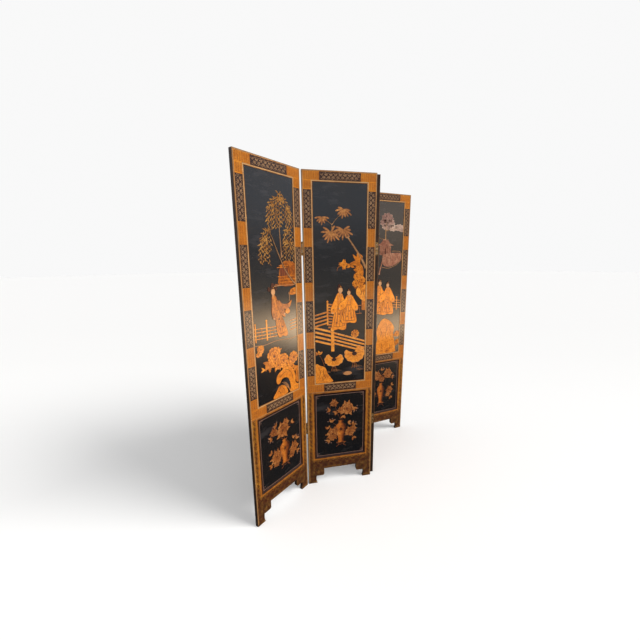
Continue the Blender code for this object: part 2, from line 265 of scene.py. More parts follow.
def hand_polish(tree, shader, z, plain, rubbed):
    """A coat that is thicker and brighter at the height where hands take hold."""
    low, high = HAND_HEIGHT
    up = span(tree, z, low - HAND_REACH, low, plain, rubbed, "SMOOTHSTEP")
    down = span(tree, z, high, high + HAND_REACH, rubbed, plain, "SMOOTHSTEP")
    tree.links.new(sums(tree, "MINIMUM", up, down), shader.inputs["Coat Weight"])


def set_colour(tree, shader, colour, grain, rough_low, rough_high, bump, depth):
    """Link the colour, and let one grain drive both roughness and bump."""
    tree.links.new(colour, shader.inputs["Base Color"])
    tree.links.new(span(tree, grain, 0.0, 1.0, rough_low, rough_high), shader.inputs["Roughness"])
    relief = wire(tree, "ShaderNodeBump", Strength=bump, Distance=depth, Height=grain)
    tree.links.new(relief.outputs[0], shader.inputs["Normal"])


def paint(name, stops, rough=(0.30, 0.50), metallic=0.0, coat=0.6, drift=0.30, wear=None):
    """A paint that shades by tone, drifts in blotches and shows worn specks."""
    material, tree, shader = new_finish(name, rough[0], metallic, coat, 0.22)
    place = wire(tree, "ShaderNodeTexCoord").outputs["Object"]
    # tone carries painted shade and highlight on the raised work, and the shape-to-shape shades of gilt
    tone = wire(tree, "ShaderNodeAttribute", {"attribute_name": "tone"}).outputs["Fac"]
    blotch, dab = noise(tree, place, 26.0), noise(tree, place, 95.0, 2.0)
    grain = noise(tree, place, 420.0, 4.0)
    drifted = swing(tree, dab, 2.2 * drift, swing(tree, blotch, 1.6 * drift, tone))
    colour = ramp(tree, swing(tree, grain, 0.35, drifted), stops)
    if wear:
        spots = ramp(tree, noise(tree, place, 95.0, 5.0, 0.65), [(0.60, (0, 0, 0)), (0.70, (1, 1, 1))])
        colour = mixed(tree, spots, colour, wear)
    set_colour(tree, shader, colour, grain, rough[0], rough[1], 0.25, 0.0004)
    up = wire(tree, "ShaderNodeSeparateXYZ", Vector=place).outputs["Z"]
    hand_polish(tree, shader, up, coat, min(1.0, coat + 0.6))
    return material


FINISH = {name: paint(name, stops, **more) for name, stops, more in (
    ("bead_gold", [(0.0, (0.08, 0.03, 0.01)), (0.5, (0.32, 0.162, 0.06)), (1.0, (0.58, 0.34, 0.14))],
     dict(metallic=0.1, coat=0.2, wear=(0.10, 0.04, 0.02))),
    ("dim_bead", [(0.0, (0.035, 0.014, 0.012)), (0.5, (0.105, 0.05, 0.036)), (1.0, (0.22, 0.125, 0.085))],
     dict(coat=0.15, wear=(0.05, 0.02, 0.014))),
    ("leaf_gold", [(0.0, (0.24, 0.06, 0.006)), (0.5, (0.45, 0.14, 0.008)), (1.0, (0.64, 0.26, 0.028))],
     dict(rough=(0.42, 0.60), metallic=0.1, coat=0.08, wear=(0.16, 0.035, 0.006))),
    ("fret_line", [(0.0, (0.075, 0.014, 0.004)), (1.0, (0.19, 0.042, 0.006))], dict(coat=0.05)),
    ("cartouche_ground", [(0.0, (0.006, 0.002, 0.002)), (1.0, (0.026, 0.007, 0.005))],
     dict(rough=(0.35, 0.5), coat=0.2)),
    ("scroll_tan", [(0.0, (0.06, 0.024, 0.012)), (0.5, (0.22, 0.112, 0.052)), (1.0, (0.42, 0.25, 0.125))],
     dict(coat=0.1, drift=0.35, wear=(0.05, 0.02, 0.012))),
    ("brown_scroll", [(0.0, (0.014, 0.003, 0.001)), (1.0, (0.085, 0.015, 0.004))], dict(coat=0.0)),
    ("picture_gilt", [(0.0, (0.045, 0.01, 0.003)), (0.35, (0.25, 0.06, 0.006)),
                      (0.7, (0.56, 0.165, 0.009)), (1.0, (0.78, 0.295, 0.028))],
     dict(rough=(0.40, 0.58), metallic=0.05, coat=0.04, drift=0.42, wear=(0.20, 0.045, 0.007))),
    ("robe_gilt", [(0.0, (0.11, 0.02, 0.003)), (0.4, (0.50, 0.13, 0.004)),
                   (0.7, (0.76, 0.228, 0.006)), (1.0, (0.94, 0.335, 0.011))],
     dict(rough=(0.42, 0.58), metallic=0.05, coat=0.04, drift=0.34)),
    ("pale_paint", [(0.0, (0.13, 0.046, 0.015)), (0.5, (0.38, 0.16, 0.054)), (1.0, (0.58, 0.295, 0.125))],
     dict(coat=0.04, drift=0.20)),
    ("dark_paint", [(0.0, (0.01, 0.004, 0.003)), (1.0, (0.11, 0.022, 0.008))], dict(coat=0.05)),
    ("willow_gilt", [(0.0, (0.03, 0.009, 0.003)), (0.35, (0.135, 0.046, 0.008)),
                     (0.65, (0.28, 0.115, 0.016)), (1.0, (0.46, 0.235, 0.06))], dict(coat=0.04, drift=0.60)),
    ("trunk_tan", [(0.0, (0.06, 0.024, 0.01)), (0.5, (0.26, 0.118, 0.045)), (1.0, (0.48, 0.27, 0.12))],
     dict(coat=0.04, drift=0.30)),
    ("palm_gilt", [(0.0, (0.05, 0.016, 0.006)), (0.4, (0.24, 0.088, 0.028)),
                   (0.75, (0.48, 0.2, 0.055)), (1.0, (0.62, 0.33, 0.13))], dict(coat=0.04, drift=0.42)),
    # posy and vase gilt are darker than the upper pictures' gilt: partly a browner gilt, partly painted shade
    # for the dimmer lower part of the screen
    ("posy_gilt", [(0.0, (0.016, 0.004, 0.002)), (0.4, (0.105, 0.025, 0.005)),
                   (0.75, (0.26, 0.075, 0.011)), (1.0, (0.38, 0.165, 0.045))], dict(coat=0.0, drift=0.50)),
    ("vase_gilt", [(0.0, (0.028, 0.006, 0.002)), (0.4, (0.14, 0.03, 0.004)),
                   (0.8, (0.35, 0.09, 0.006)), (1.0, (0.50, 0.17, 0.02))], dict(coat=0.0, drift=0.34)),
    ("dull_red", [(0.0, (0.055, 0.016, 0.01)), (0.5, (0.22, 0.074, 0.04)), (1.0, (0.44, 0.23, 0.13))],
     dict(coat=0.20, drift=0.5)),
    ("cloud_pink", [(0.0, (0.11, 0.05, 0.042)), (0.5, (0.30, 0.165, 0.125)), (1.0, (0.50, 0.36, 0.27))],
     dict(coat=0.20, drift=0.5)),
    ("moulding_red", [(0.0, (0.008, 0.003, 0.003)), (1.0, (0.032, 0.005, 0.004))],
     dict(rough=(0.3, 0.45), coat=0.15)))}
print(len(FINISH), "paints")

# %% Floor finish
floor_paint, floor_tree, floor_shader = new_finish("studio_floor_paint", 0.85, 0.0, 0.0, 0.5)
floor_place = wire(floor_tree, "ShaderNodeTexCoord").outputs["Object"]
behind = wire(floor_tree, "ShaderNodeSeparateXYZ", Vector=floor_place).outputs["Y"]
# the floor's colour darkens from front to back: a painted falloff of light away from the screen
pale = ramp(floor_tree, span(floor_tree, behind, -0.5, 4.5), [(at, (level,) * 3) for at, level in
                               ((0.0, 0.99), (0.2, 0.955), (0.4, 0.925), (0.6, 0.905), (1.0, 0.895))])
set_colour(floor_tree, floor_shader, pale, noise(floor_tree, floor_place, 60.0), 0.8, 0.9, 0.02, 0.001)
floor.data.materials.append(floor_paint)

# %% [markdown]
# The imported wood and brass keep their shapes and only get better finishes. A panel's
# frame is gilt on its painted face alone: its ends and back are plain dark lacquer.
# The finish finds the face by turning the world's coordinates into the panel's own with
# a Mapping node, and looking at the depth.

# %% Frame, board and brass finishes
FACE_DEPTH = 0.0009          # the painted face, with its softened edge
BLACK_EDGE = 0.0024          # left black round the outside of the face


def panel_place(tree, n):
    """The panel's own coordinates of a shaded point: (vector, x, y, z)."""
    back = placing[n].inverted()
    turned = wire(tree, "ShaderNodeMapping", Vector=wire(tree, "ShaderNodeTexCoord").outputs["Object"],
                  Location=back.translation, Rotation=back.to_euler())
    return turned.outputs[0], *wire(tree, "ShaderNodeSeparateXYZ", Vector=turned.outputs[0]).outputs


def frame_finish(n):
    material, tree, shader = new_finish("panel_%d_frame_lacquer" % n, 0.35, 0.10, 0.10, 0.22)
    place, x, y, z = panel_place(tree, n)
    blotch, grain = noise(tree, place, 34.0, 4.0), noise(tree, place, 380.0, 4.0)
    shade = swing(tree, blotch, 1.3, swing(tree, grain, 0.3, 0.5))
    high = ramp(tree, shade, [(0.2, (0.14, 0.045, 0.01)), (0.8, (0.30, 0.105, 0.018))])
    low = ramp(tree, shade, [(0.25, (0.085, 0.026, 0.004)), (0.50, (0.235, 0.088, 0.007)),
                             (0.85, (0.38, 0.17, 0.014))])
    # below 0.24 m the gilt fades to this darker colour toward the floor: painted shade for the weaker light low
    # on the panel
    foot = ramp(tree, shade, [(0.25, (0.022, 0.008, 0.003)), (0.50, (0.08, 0.031, 0.007)),
                              (0.85, (0.19, 0.088, 0.016))])
    gilt = mixed(tree, span(tree, z, 0.60, 0.62), low, high)
    gilt = mixed(tree, span(tree, z, 0.24, 0.12), gilt, foot)
    plain = ramp(tree, shade, [(0.2, (0.01, 0.006, 0.005)), (0.8, (0.04, 0.02, 0.012))])
    rubbed = sums(tree, "LESS_THAN", sums(tree, "MULTIPLY_ADD", blotch, -0.003, y), 0.0002)
    plain = mixed(tree, rubbed, plain, (0.16, 0.07, 0.02))
    off_middle = sums(tree, "ABSOLUTE", sums(tree, "SUBTRACT", x, PANEL_WIDTH / 2))
    inside = sums(tree, "MULTIPLY", sums(tree, "LESS_THAN", off_middle, PANEL_WIDTH / 2 - BLACK_EDGE),
                  sums(tree, "LESS_THAN", z, PANEL_HEIGHT - BLACK_EDGE))
    colour = mixed(tree, sums(tree, "MULTIPLY", sums(tree, "LESS_THAN", y, FACE_DEPTH), inside), plain, gilt)
    set_colour(tree, shader, colour, grain, 0.34, 0.54, 0.25, 0.0004)
    hand_polish(tree, shader, z, 0.08, 0.9)
    return material


def board_finish(n):
    """Black lacquer: almost a mirror, with a bluish bloom, brown thin spots and fine dust."""
    material, tree, shader = new_finish("panel_%d_black_lacquer" % n, 0.30, 0.0, 0.85, 0.13)
    place, x, y, z = panel_place(tree, n)
    bloom, grain = noise(tree, place, 7.0, 3.0), noise(tree, place, 300.0, 5.0, 0.7)
    black = ramp(tree, bloom, [(0.30, (0.004, 0.0042, 0.0055)), (0.70, (0.0075, 0.006, 0.0055))])
    thin = ramp(tree, noise(tree, place, 34.0, 6.0, 0.7), [(0.62, (0, 0, 0)), (0.78, (1, 1, 1))])
    colour = mixed(tree, thin, black, (0.016, 0.009, 0.006))
    wiped = wire(tree, "ShaderNodeMapping", Vector=place, Scale=(5.0, 5.0, 17.0)).outputs[0]
    smears = ramp(tree, noise(tree, wiped, 1.0, 5.0, 0.6), [(0.54, (0, 0, 0)), (0.72, (1, 1, 1))])
    colour = mixed(tree, smears, colour, (0.026, 0.023, 0.024))
    dust = ramp(tree, noise(tree, place, 900.0, 2.0), [(0.74, (0, 0, 0)), (0.80, (1, 1, 1))])
    colour = mixed(tree, dust, colour, (0.03, 0.027, 0.024))
    wood = wire(tree, "ShaderNodeMapping", Vector=place, Scale=(55.0, 55.0, 2.2))
    ripple = sums(tree, "MULTIPLY_ADD", noise(tree, wood.outputs[0], 1.0, 2.0), 1.4, grain)
    shader.inputs["Specular IOR Level"].default_value = 0.06
    set_colour(tree, shader, colour, ripple, 0.40, 0.60, 0.10, 0.0003)
    return material


def brass_finish(name, bright, dull, low, high):
    """Brass that has gone brown in patches and is rubbed bright elsewhere."""
    material, tree, shader = new_finish(name, low, 0.9, 0.0, 0.2)
    place = wire(tree, "ShaderNodeTexCoord").outputs["Object"]
    patches, grain = noise(tree, place, 130.0, 4.0), noise(tree, place, 1400.0, 2.0)
    colour = mixed(tree, ramp(tree, patches, [(0.40, (0, 0, 0)), (0.62, (1, 1, 1))]), bright, dull)
    set_colour(tree, shader, colour, sums(tree, "MULTIPLY_ADD", patches, 0.5, grain), low, high, 0.3, 0.0002)
    return material


for metal, *look in (("leaf_brass", (0.42, 0.27, 0.12), (0.13, 0.07, 0.03), 0.28, 0.52),
                     ("pin_brass", (0.50, 0.34, 0.17), (0.20, 0.115, 0.05), 0.24, 0.44),
                     ("screw_steel", (0.72, 0.68, 0.60), (0.36, 0.30, 0.24), 0.22, 0.42)):
    FINISH[metal] = brass_finish("hinge_" + metal, *look)
frame_lacquer = {n: frame_finish(n) for n in PANELS}
black_lacquer = {n: board_finish(n) for n in PANELS}
for name, node in frame["nodes"].items():
    if name.startswith("hinge"):
        chosen = FINISH["pin_brass" if name.endswith("pin") else "leaf_brass"]
    else:
        n = int(name.split("_")[1])
        chosen = (black_lacquer if name.endswith("board") else frame_lacquer)[n]
    node.data.materials.clear()
    node.data.materials.append(chosen)
print("finishes on", len(frame["nodes"]), "packed pieces")

# %% [markdown]
# ## Raised drawing
# The pictures are built up in thick lacquer and gilded, so they stand a little off the
# board. Two kinds of mark make all of them: a patch, which is a flat shape with a small
# chamfer round its edge, and a stroke, which is a ridge that follows a path and swells
# and thins as a loaded brush does. Both are closed solids sunk slightly into the ground
# under them, and both write their tone on their points.

# %% Patches and strokes
SUNK = 0.0002                     # how far raised work is let into its ground
THINNEST = 0.00015


def new_drawing():
    drawing = bmesh.new()
    drawing.verts.layers.float.new("tone")
    return drawing


def smooth(points, closed=False, steps=4):
    """More points along a soft curve through the given ones."""
    points = [Vector(p) for p in points]
    count = len(points)

    def at(i):
        return points[i % count] if closed else points[min(max(i, 0), count - 1)]

    out = []
    for i in range(count if closed else count - 1):
        a, b, c, d = at(i - 1), at(i), at(i + 1), at(i + 2)
        for k in range(steps):
            t = k / steps
            out.append(0.5 * (2 * b + (c - a) * t + (2 * a - 5 * b + 4 * c - d) * t * t
                              + (3 * b - a - 3 * c + d) * t ** 3))
    return out if closed else out + [points[-1]]


def patch(drawing, outline, lift, tone=0.6, rim=None, finish=0, base=0.0):
    """A flat raised shape with a chamfered edge."""
    points = [Vector(p) for p in outline]
    if sum(a.x * b.y - b.x * a.y for a, b in zip(points, points[1:] + points[:1])) < 0:
        points.reverse()
    layer, count = drawing.verts.layers.float["tone"], len(points)
    chamfer = min(0.0004, 0.6 * lift)
    # the chamfered edge takes a darker tone than the top: painted shade round the shape
    rim = tone - 0.25 if rim is None else rim
    rings = []
    for inset, height, shade in ((0, base - SUNK, rim), (0, base + lift - chamfer, rim),
                                 (chamfer, base + lift, tone)):
        ring = []
        for i, point in enumerate(points):
            along = (points[(i + 1) % count] - points[i - 1]).normalized()
            spot = point + inset * Vector((-along.y, along.x))
            vert = drawing.verts.new((spot.x, -height, spot.y))
            vert[layer] = shade
            ring.append(vert)
        rings.append(ring)
    made = [drawing.faces.new(rings[2]), drawing.faces.new(rings[0][::-1])]
    for low, high in zip(rings, rings[1:]):
        for i in range(count):
            j = (i + 1) % count
            made.append(drawing.faces.new((low[i], low[j], high[j], high[i])))
    for face in made:
        face.material_index = finish


def stroke(drawing, path, width, lift, tone=0.6, rim=None, finish=0, base=0.0):
    """A ridge along a path; width and lift may be numbers or functions of 0..1 along it."""
    points = [Vector(p) for p in path]
    layer, last = drawing.verts.layers.float["tone"], len(points) - 1
    # the ridge's sides take a darker tone than its crest: painted shade at the root, painted highlight on the
    # crest
    rim = tone - 0.30 if rim is None else rim
    rows = []
    for i, point in enumerate(points):
        t = i / last
        before = (point - points[max(i - 1, 0)]).normalized()
        after = (points[min(i + 1, last)] - point).normalized()
        along = (before + after).normalized()
        mitre = 1 / max(along.dot(after if i < last else before), 0.65)
        half = mitre * max((width(t) if callable(width) else width) / 2, THINNEST)
        crest = base + max(lift(t) if callable(lift) else lift, THINNEST)
        side = half * Vector((-along.y, along.x))
        row = [drawing.verts.new((p.x, -h, p.y)) for p, h in (
            (point + side, base - SUNK), (point, crest), (point - side, base - SUNK))]
        for vert, shade in zip(row, (rim, tone, rim)):
            vert[layer] = shade
        rows.append(row)
    made = [drawing.faces.new((rows[0][1], rows[0][0], rows[0][2])),
            drawing.faces.new((rows[-1][0], rows[-1][1], rows[-1][2]))]
    for (la, ca, ra), (lb, cb, rb) in zip(rows, rows[1:]):
        made += [drawing.faces.new(f) for f in ((ca, cb, lb, la), (ra, rb, cb, ca), (la, lb, rb, ra))]
    for face in made:
        face.material_index = finish


def mitred(drawing, x0, x1, z0, z1, section, tone=0.6, finish=0):
    """A mitred border round a rectangle; the section is (inward, height) points, in order."""
    layer = drawing.verts.layers.float["tone"]
    top = max(h for _, h in section)
    loops = []
    for inward, lift in section:
        loop = [drawing.verts.new((x, -lift, z)) for x, z in (
            (x0 + inward, z0 + inward), (x1 - inward, z0 + inward),
            (x1 - inward, z1 - inward), (x0 + inward, z1 - inward))]
        for vert in loop:
            # the low loops take a darker tone than the crest: painted shade at the foot of the border
            vert[layer] = tone if lift > 0.5 * top else tone - 0.35
        loops.append(loop)
    for low, high in zip(loops, loops[1:] + loops[:1]):
        for i in range(4):
            j = (i + 1) % 4
            face = drawing.faces.new((low[i], low[j], high[j], high[i]))
            face.material_index = finish


def bead(width, lift):
    """The section of a half-round bead."""
    return [(0.0, -SUNK), (0.0, 0.3 * lift), (0.2 * width, 0.8 * lift), (0.5 * width, lift),
            (0.8 * width, 0.8 * lift), (width, 0.3 * lift), (width, -SUNK)]


def hang(n, name, mesh, finishes):
    """Stand a mesh in panel coordinates up on panel n, as one piece that moves with it."""
    if mesh.materials:
        mesh.materials.clear()
    for finish in finishes:
        mesh.materials.append(FINISH[finish])
    mesh.transform(placing[n])
    piece = bpy.data.objects.new("panel_%d_%s" % (n, name), mesh)
    bpy.context.scene.collection.objects.link(piece)
    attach(piece, "panel_%d" % n)
    print(piece.name, len(mesh.polygons), "faces")
    return piece


def flat_mesh(drawing, name, depth=0.0, behind=False):
    """Close a drawing and set it on a ground at that depth, or on the back."""
    drawing.normal_update()
    bmesh.ops.triangulate(drawing, faces=[f for f in drawing.faces if len(f.verts) > 4])
    for vert in drawing.verts:
        vert.co.y = depth - vert.co.y if behind else depth + vert.co.y
    bmesh.ops.recalc_face_normals(drawing, faces=drawing.faces)
    mesh = bpy.data.meshes.new(name)
    drawing.to_mesh(mesh)
    drawing.free()
    return mesh


def draw(n, name, pen, finishes, depth=0.0, behind=False):
    """Make one piece on panel n with whatever the pen function draws."""
    drawing = new_drawing()
    pen(drawing)
    return hang(n, name, flat_mesh(drawing, name, depth, behind), finishes)


# %% [markdown]
# ## Borders
# Every panel has the same border: a tan line round the edge and another round each
# board, gold blocks of fret at the corners and between the cartouches, and long dark
# cartouches of scroll. The lines are beads; the grounds are thin patches of leaf or
# lacquer laid between them.

# %% Lines round the frame and the boards
EDGE_LINE, INNER_LINE = 0.004, 0.005
EDGE_IN = 0.0022                                  # from the panel's edge to its line
UPPER_LINE = (0.048, 0.6655, 1.7815)             # left, bottom and top of the line's outside
LOWER_LINE = (0.031, 0.164, 0.618)
FIELD_LINE = (0.0525, 0.185, 0.5935)


def polar(x, z, angle, rx, rz=None):
    """The point at an angle on a circle or oval round (x, z)."""
    return x + rx * cos(angle), z + (rx if rz is None else rz) * sin(angle)


def oval(x, z, rx, rz, count=14):
    return [polar(x, z, 2 * pi * k / count, rx, rz) for k in range(count)]


def curl(x, z, start, sweep, radius, steps=12):
    """A spiral that tightens to about a quarter of its first radius."""
    return [polar(x, z, start + sweep * i / steps, radius * (1 - 0.75 * i / steps)) for i in range(steps + 1)]


def edge_lines(d):
    side = EDGE_IN + EDGE_LINE / 2
    top = PANEL_HEIGHT - side
    stroke(d, [(side, 0.012), (side, top), (PANEL_WIDTH - side, top), (PANEL_WIDTH - side, 0.012)], EDGE_LINE,
           0.0006, 0.75)
    left, low, high = UPPER_LINE
    mitred(d, left, PANEL_WIDTH - left, low, high, bead(INNER_LINE, 0.0008), 0.8)
    left, low, high = LOWER_LINE
    stroke(d, [(left, high - 0.0022), (PANEL_WIDTH - left, high - 0.0022)], 0.0044, 0.0005, 0.6, base=0.0005)


def gilt_line(d):
    left, low, high = LOWER_LINE
    mitred(d, left, PANEL_WIDTH - left, low, high, bead(INNER_LINE, 0.0008), 0.35)


def field_line(d):
    left, low, high = FIELD_LINE
    right = PANEL_WIDTH - left
    mitred(d, left, right, low, high, bead(0.0034, 0.0006), 0.75)
    for x, z, sx, sz in ((left, low, 1, 1), (right, low, -1, 1), (left, high, 1, -1), (right, high, -1, -1)):
        eye = [(x + sx * a, z + sz * b) for a, b in curl(0.015, 0.015, -2.36, -4.2, 0.008, 8)]
        stroke(d, [(x + 0.004 * sx, z + 0.004 * sz)] + eye, 0.0022, 0.0005, 0.7)
        for a, b in ((0.028, 0.0075), (0.0075, 0.028)):
            stroke(d, smooth([(x + 0.006 * sx, z + 0.006 * sz),
                              (x + sx * (0.7 * a + 0.001), z + sz * (0.7 * b + 0.001)),
                              (x + sx * a, z + sz * b)], steps=2), lambda t: 0.0034 - 0.0022 * t, 0.0005, 0.55)


def recess_moulding(d):
    mitred(d, LOWER_STILE, PANEL_WIDTH - LOWER_STILE, BOTTOM_RAIL_TOP, MIDDLE_RAIL_BOTTOM,
           [(0.0, -SUNK), (0.0, 0.0036), (0.003, 0.0034), (0.0065, 0.0018), (0.0095, 0.0006), (0.0095, -SUNK)],
           0.6)


for n in PANELS:
    draw(n, "edge_lines", edge_lines, ["bead_gold"])
    draw(n, "gilt_line", gilt_line, ["leaf_gold"])
    draw(n, "field_line", field_line, ["dim_bead"], LOWER_RECESS)
    draw(n, "recess_moulding", recess_moulding, ["moulding_red"], LOWER_RECESS)

# %% Gold blocks and dark cartouches
BAND = (0.0074, 0.047)                           # across a stile, between its two lines
TOP_BAND, MIDDLE_BAND = (1.7826, 1.8226), (0.619, 0.664)
BLOCKS = ((1.4505, 1.547), (1.162, 1.263), (0.89, 0.984))
CARTOUCHES = ((1.547, 1.736), (1.263, 1.4505), (0.984, 1.162), (0.7215, 0.89))
CORNER_REACH, CORNER_DROP = 0.0915, 1.736
T_REACH, T_TOP = 0.104, 0.7215
LEAF_LIFT = 0.00025


def mirrored(points):
    return [(PANEL_WIDTH - x, z) for x, z in points]


def rectangle(x0, x1, z0, z1):
    return [(x0, z0), (x1, z0), (x1, z1), (x0, z1)]


def both_sides(d, outline, lift, tone, finish=0):
    patch(d, outline, lift, tone, tone - 0.1, finish)
    patch(d, mirrored(outline), lift, tone, tone - 0.1, finish)


def gold_blocks(d):
    left, right = BAND
    for low, high in BLOCKS:
        both_sides(d, rectangle(left, right, low, high), LEAF_LIFT, 0.55)
    both_sides(d, [(left, CORNER_DROP), (right, CORNER_DROP), (right, TOP_BAND[0]), (CORNER_REACH, TOP_BAND[0]),
                   (CORNER_REACH, TOP_BAND[1]), (left, TOP_BAND[1])], LEAF_LIFT, 0.6)
    both_sides(d, [(left, MIDDLE_BAND[0]), (T_REACH, MIDDLE_BAND[0]), (T_REACH, MIDDLE_BAND[1]),
                   (right, MIDDLE_BAND[1]), (right, T_TOP), (left, T_TOP)], LEAF_LIFT, 0.45)


def notched(x0, x1, z0, z1, notch=0.0045):
    """A rectangle with its corners stepped in, as a cartouche is."""
    return [(x0 + notch, z0), (x1 - notch, z0), (x1 - notch, z0 + notch), (x1, z0 + notch),
            (x1, z1 - notch), (x1 - notch, z1 - notch), (x1 - notch, z1), (x0 + notch, z1),
            (x0 + notch, z1 - notch), (x0, z1 - notch), (x0, z0 + notch), (x0 + notch, z0 + notch)]


def cartouches(d):
    left, right = BAND
    for low, high in CARTOUCHES:
        both_sides(d, rectangle(left, right, low, high), LEAF_LIFT, 0.5)
    for band, reach in ((TOP_BAND, CORNER_REACH), (MIDDLE_BAND, T_REACH)):
        patch(d, rectangle(reach, PANEL_WIDTH - reach, *band), LEAF_LIFT, 0.5, 0.4)


def cartouche_lines(d):
    left, right = BAND
    outlines = []
    for low, high in CARTOUCHES:
        outline = notched(left + 0.003, right - 0.003, low + 0.004, high - 0.004)
        outlines += [outline, mirrored(outline)]
    for band, reach in ((TOP_BAND, CORNER_REACH), (MIDDLE_BAND, T_REACH)):
        outlines.append(notched(reach + 0.004, PANEL_WIDTH - reach - 0.004, band[0] + 0.003, band[1] - 0.003))
    for outline in outlines:
        stroke(d, outline + outline[:2], 0.0013, 0.0004, 0.55, base=LEAF_LIFT)


for n in PANELS:
    draw(n, "gold_blocks", gold_blocks, ["leaf_gold"])
    draw(n, "cartouches", cartouches, ["cartouche_ground"])
    draw(n, "cartouche_lines", cartouche_lines, ["scroll_tan"])

# %% [markdown]
# ## Things that repeat
# Fret, scrolls, spots, screws, willow leaves and petals are the same small shape again
# and again, so Geometry Nodes set them out. Each tree takes its sizes through named
# inputs. The first tree lays a motif end to end along lines: it resamples every line at
# the motif's pitch, turns the motif along the line, and drops the last point of each
# line, where no motif would fit.

# %% A tree that lays motifs along lines


def new_tree(name, sizes):
    """A Geometry Nodes tree with one socket for each size: (tree, inputs node, identifiers)."""
    tree = bpy.data.node_groups.new(name, "GeometryNodeTree")
    tree.interface.new_socket("Geometry", in_out="INPUT", socket_type="NodeSocketGeometry")
    tree.interface.new_socket("Geometry", in_out="OUTPUT", socket_type="NodeSocketGeometry")
    known = {}
    for label, kind in sizes.items():
        known[label] = tree.interface.new_socket(label, in_out="INPUT",
                                                 socket_type="NodeSocket" + kind).identifier
    return tree, tree.nodes.new("NodeGroupInput").outputs, known


def end_tree(tree, instances, finish):
    real = wire(tree, "GeometryNodeRealizeInstances", Geometry=instances)
    painted = wire(tree, "GeometryNodeSetMaterial", Geometry=real.outputs[0], Material=finish)
    wire(tree, "NodeGroupOutput", i0=painted.outputs[0])


def grow(tree, known, mesh, **values):
    """Run a tree on a mesh and return the result as a plain mesh."""
    base = bpy.data.objects.new("ground", mesh)
    bpy.context.scene.collection.objects.link(base)
    modifier = base.modifiers.new("set_out", "NODES")
    modifier.node_group = tree
    for label, value in values.items():
        modifier[known[label]] = value
    bpy.context.view_layer.update()
    shaped = base.evaluated_get(bpy.context.evaluated_depsgraph_get())
    result = bpy.data.meshes.new_from_object(shaped)
    base.modifiers.clear()
    bpy.data.objects.remove(base)
    return result


def lines_mesh(runs):
    """Loose edges for (x, z) runs, drawn on the painted face."""
    mesh = bpy.data.meshes.new("runs")
    verts, edges = [], []
    for run in runs:
        edges += [(len(verts) + i, len(verts) + i + 1) for i in range(len(run) - 1)]
        verts += [(p[0], 0.0, p[1]) for p in run]
    mesh.from_pydata(verts, edges, [])
    return mesh


def motif(name, pen):
    """One small drawing, kept out of the scene for a tree to repeat."""
    drawing = new_drawing()
    pen(drawing)
    return bpy.data.objects.new(name, flat_mesh(drawing, name))


def stops_along(tree, sizes):
    """Points along the input's loose edges, one pitch apart."""
    curve = wire(tree, "GeometryNodeMeshToCurve", Mesh=sizes["Geometry"])
    return wire(tree, "GeometryNodeResampleCurve", {"mode": "LENGTH"}, Curve=curve.outputs[0],
                Length=sizes["Pitch"]).outputs[0]


def turn_to(tree, vector, axis="X", pivot="Y"):
    """The rotation that turns a shape's axis along the vector."""
    return wire(tree, "FunctionNodeAlignRotationToVector", {"axis": axis, "pivot_axis": pivot},
                Vector=vector).outputs[0]


def tangent(tree):
    return wire(tree, "GeometryNodeInputTangent").outputs[0]


def shape_of(tree, socket):
    return wire(tree, "GeometryNodeObjectInfo", Object=socket).outputs["Geometry"]


def set_on(tree, points, shape, turned, **more):
    return wire(tree, "GeometryNodeInstanceOnPoints", Points=points, Instance=shape, Rotation=turned,
                **more).outputs[0]


along, sizes, ALONG = new_tree("motifs_along_lines", {
    "Motif": "Object", "Pitch": "Float", "Finish": "Material"})
last = wire(along, "GeometryNodeCurveEndpointSelection", Start_Size=0, End_Size=1)
not_last = wire(along, "FunctionNodeBooleanMath", {"operation": "NOT"}, i0=last.outputs[0])
set_out = set_on(along, stops_along(along, sizes), shape_of(along, sizes["Motif"]),
                 turn_to(along, tangent(along)), Selection=not_last.outputs[0])
end_tree(along, set_out, sizes["Finish"])
print("tree", along.name, "with", len(along.nodes), "nodes")


def lay_along(n, name, pattern, pitch, runs, finish):
    laid = grow(along, ALONG, lines_mesh(runs), Motif=pattern, Pitch=pitch, Finish=FINISH[finish])
    return hang(n, name, laid, [finish])


# %% Fret on the gold blocks
FRET = 0.012


def fret_pen(d):
    """A square key that turns in on itself, with a dot in its eye."""
    u = FRET / 8
    key = [(1, 1), (7, 1), (7, 7), (2.6, 7), (2.6, 3), (5.2, 3)]
    stroke(d, [(x * u, (z - 4) * u) for x, z in key], 1.35 * u, 0.0003, 0.6, base=LEAF_LIFT)
    dot = [polar(4.9, 1.1, a, 0.8) for a in (0, 1.57, 3.14, 4.71)]
    patch(d, [(x * u, z * u) for x, z in dot], 0.0003, 0.6, base=LEAF_LIFT)


fret = motif("fret_key", fret_pen)


def fret_rows(x0, x1, z0, z1):
    """Rows of keys that fill a rectangle, centred in it; each run is a whole number of keys."""
    across, up = int((x1 - x0) / FRET), int((z1 - z0) / FRET)
    start = (x0 + x1 - across * FRET) / 2
    lowest = (z0 + z1 - (up - 1) * FRET) / 2
    return [[(start, lowest + i * FRET), (start + across * FRET + 0.0001, lowest + i * FRET)]
            for i in range(up)]


left, right = BAND
halves = [r for low, high in BLOCKS for r in fret_rows(left, right, low, high)]
halves += fret_rows(left, right, CORNER_DROP, TOP_BAND[0]) + fret_rows(left, CORNER_REACH, *TOP_BAND)
halves += fret_rows(left, right, MIDDLE_BAND[1], T_TOP) + fret_rows(left, T_REACH, *MIDDLE_BAND)
fret_runs = halves + [[(PANEL_WIDTH - b[0], b[1]), (PANEL_WIDTH - a[0], a[1])] for a, b in halves]
for n in PANELS:
    lay_along(n, "gold_fret", fret, FRET, fret_runs, "fret_line")

# %% Scrolls in the cartouches
SCROLL = 0.025


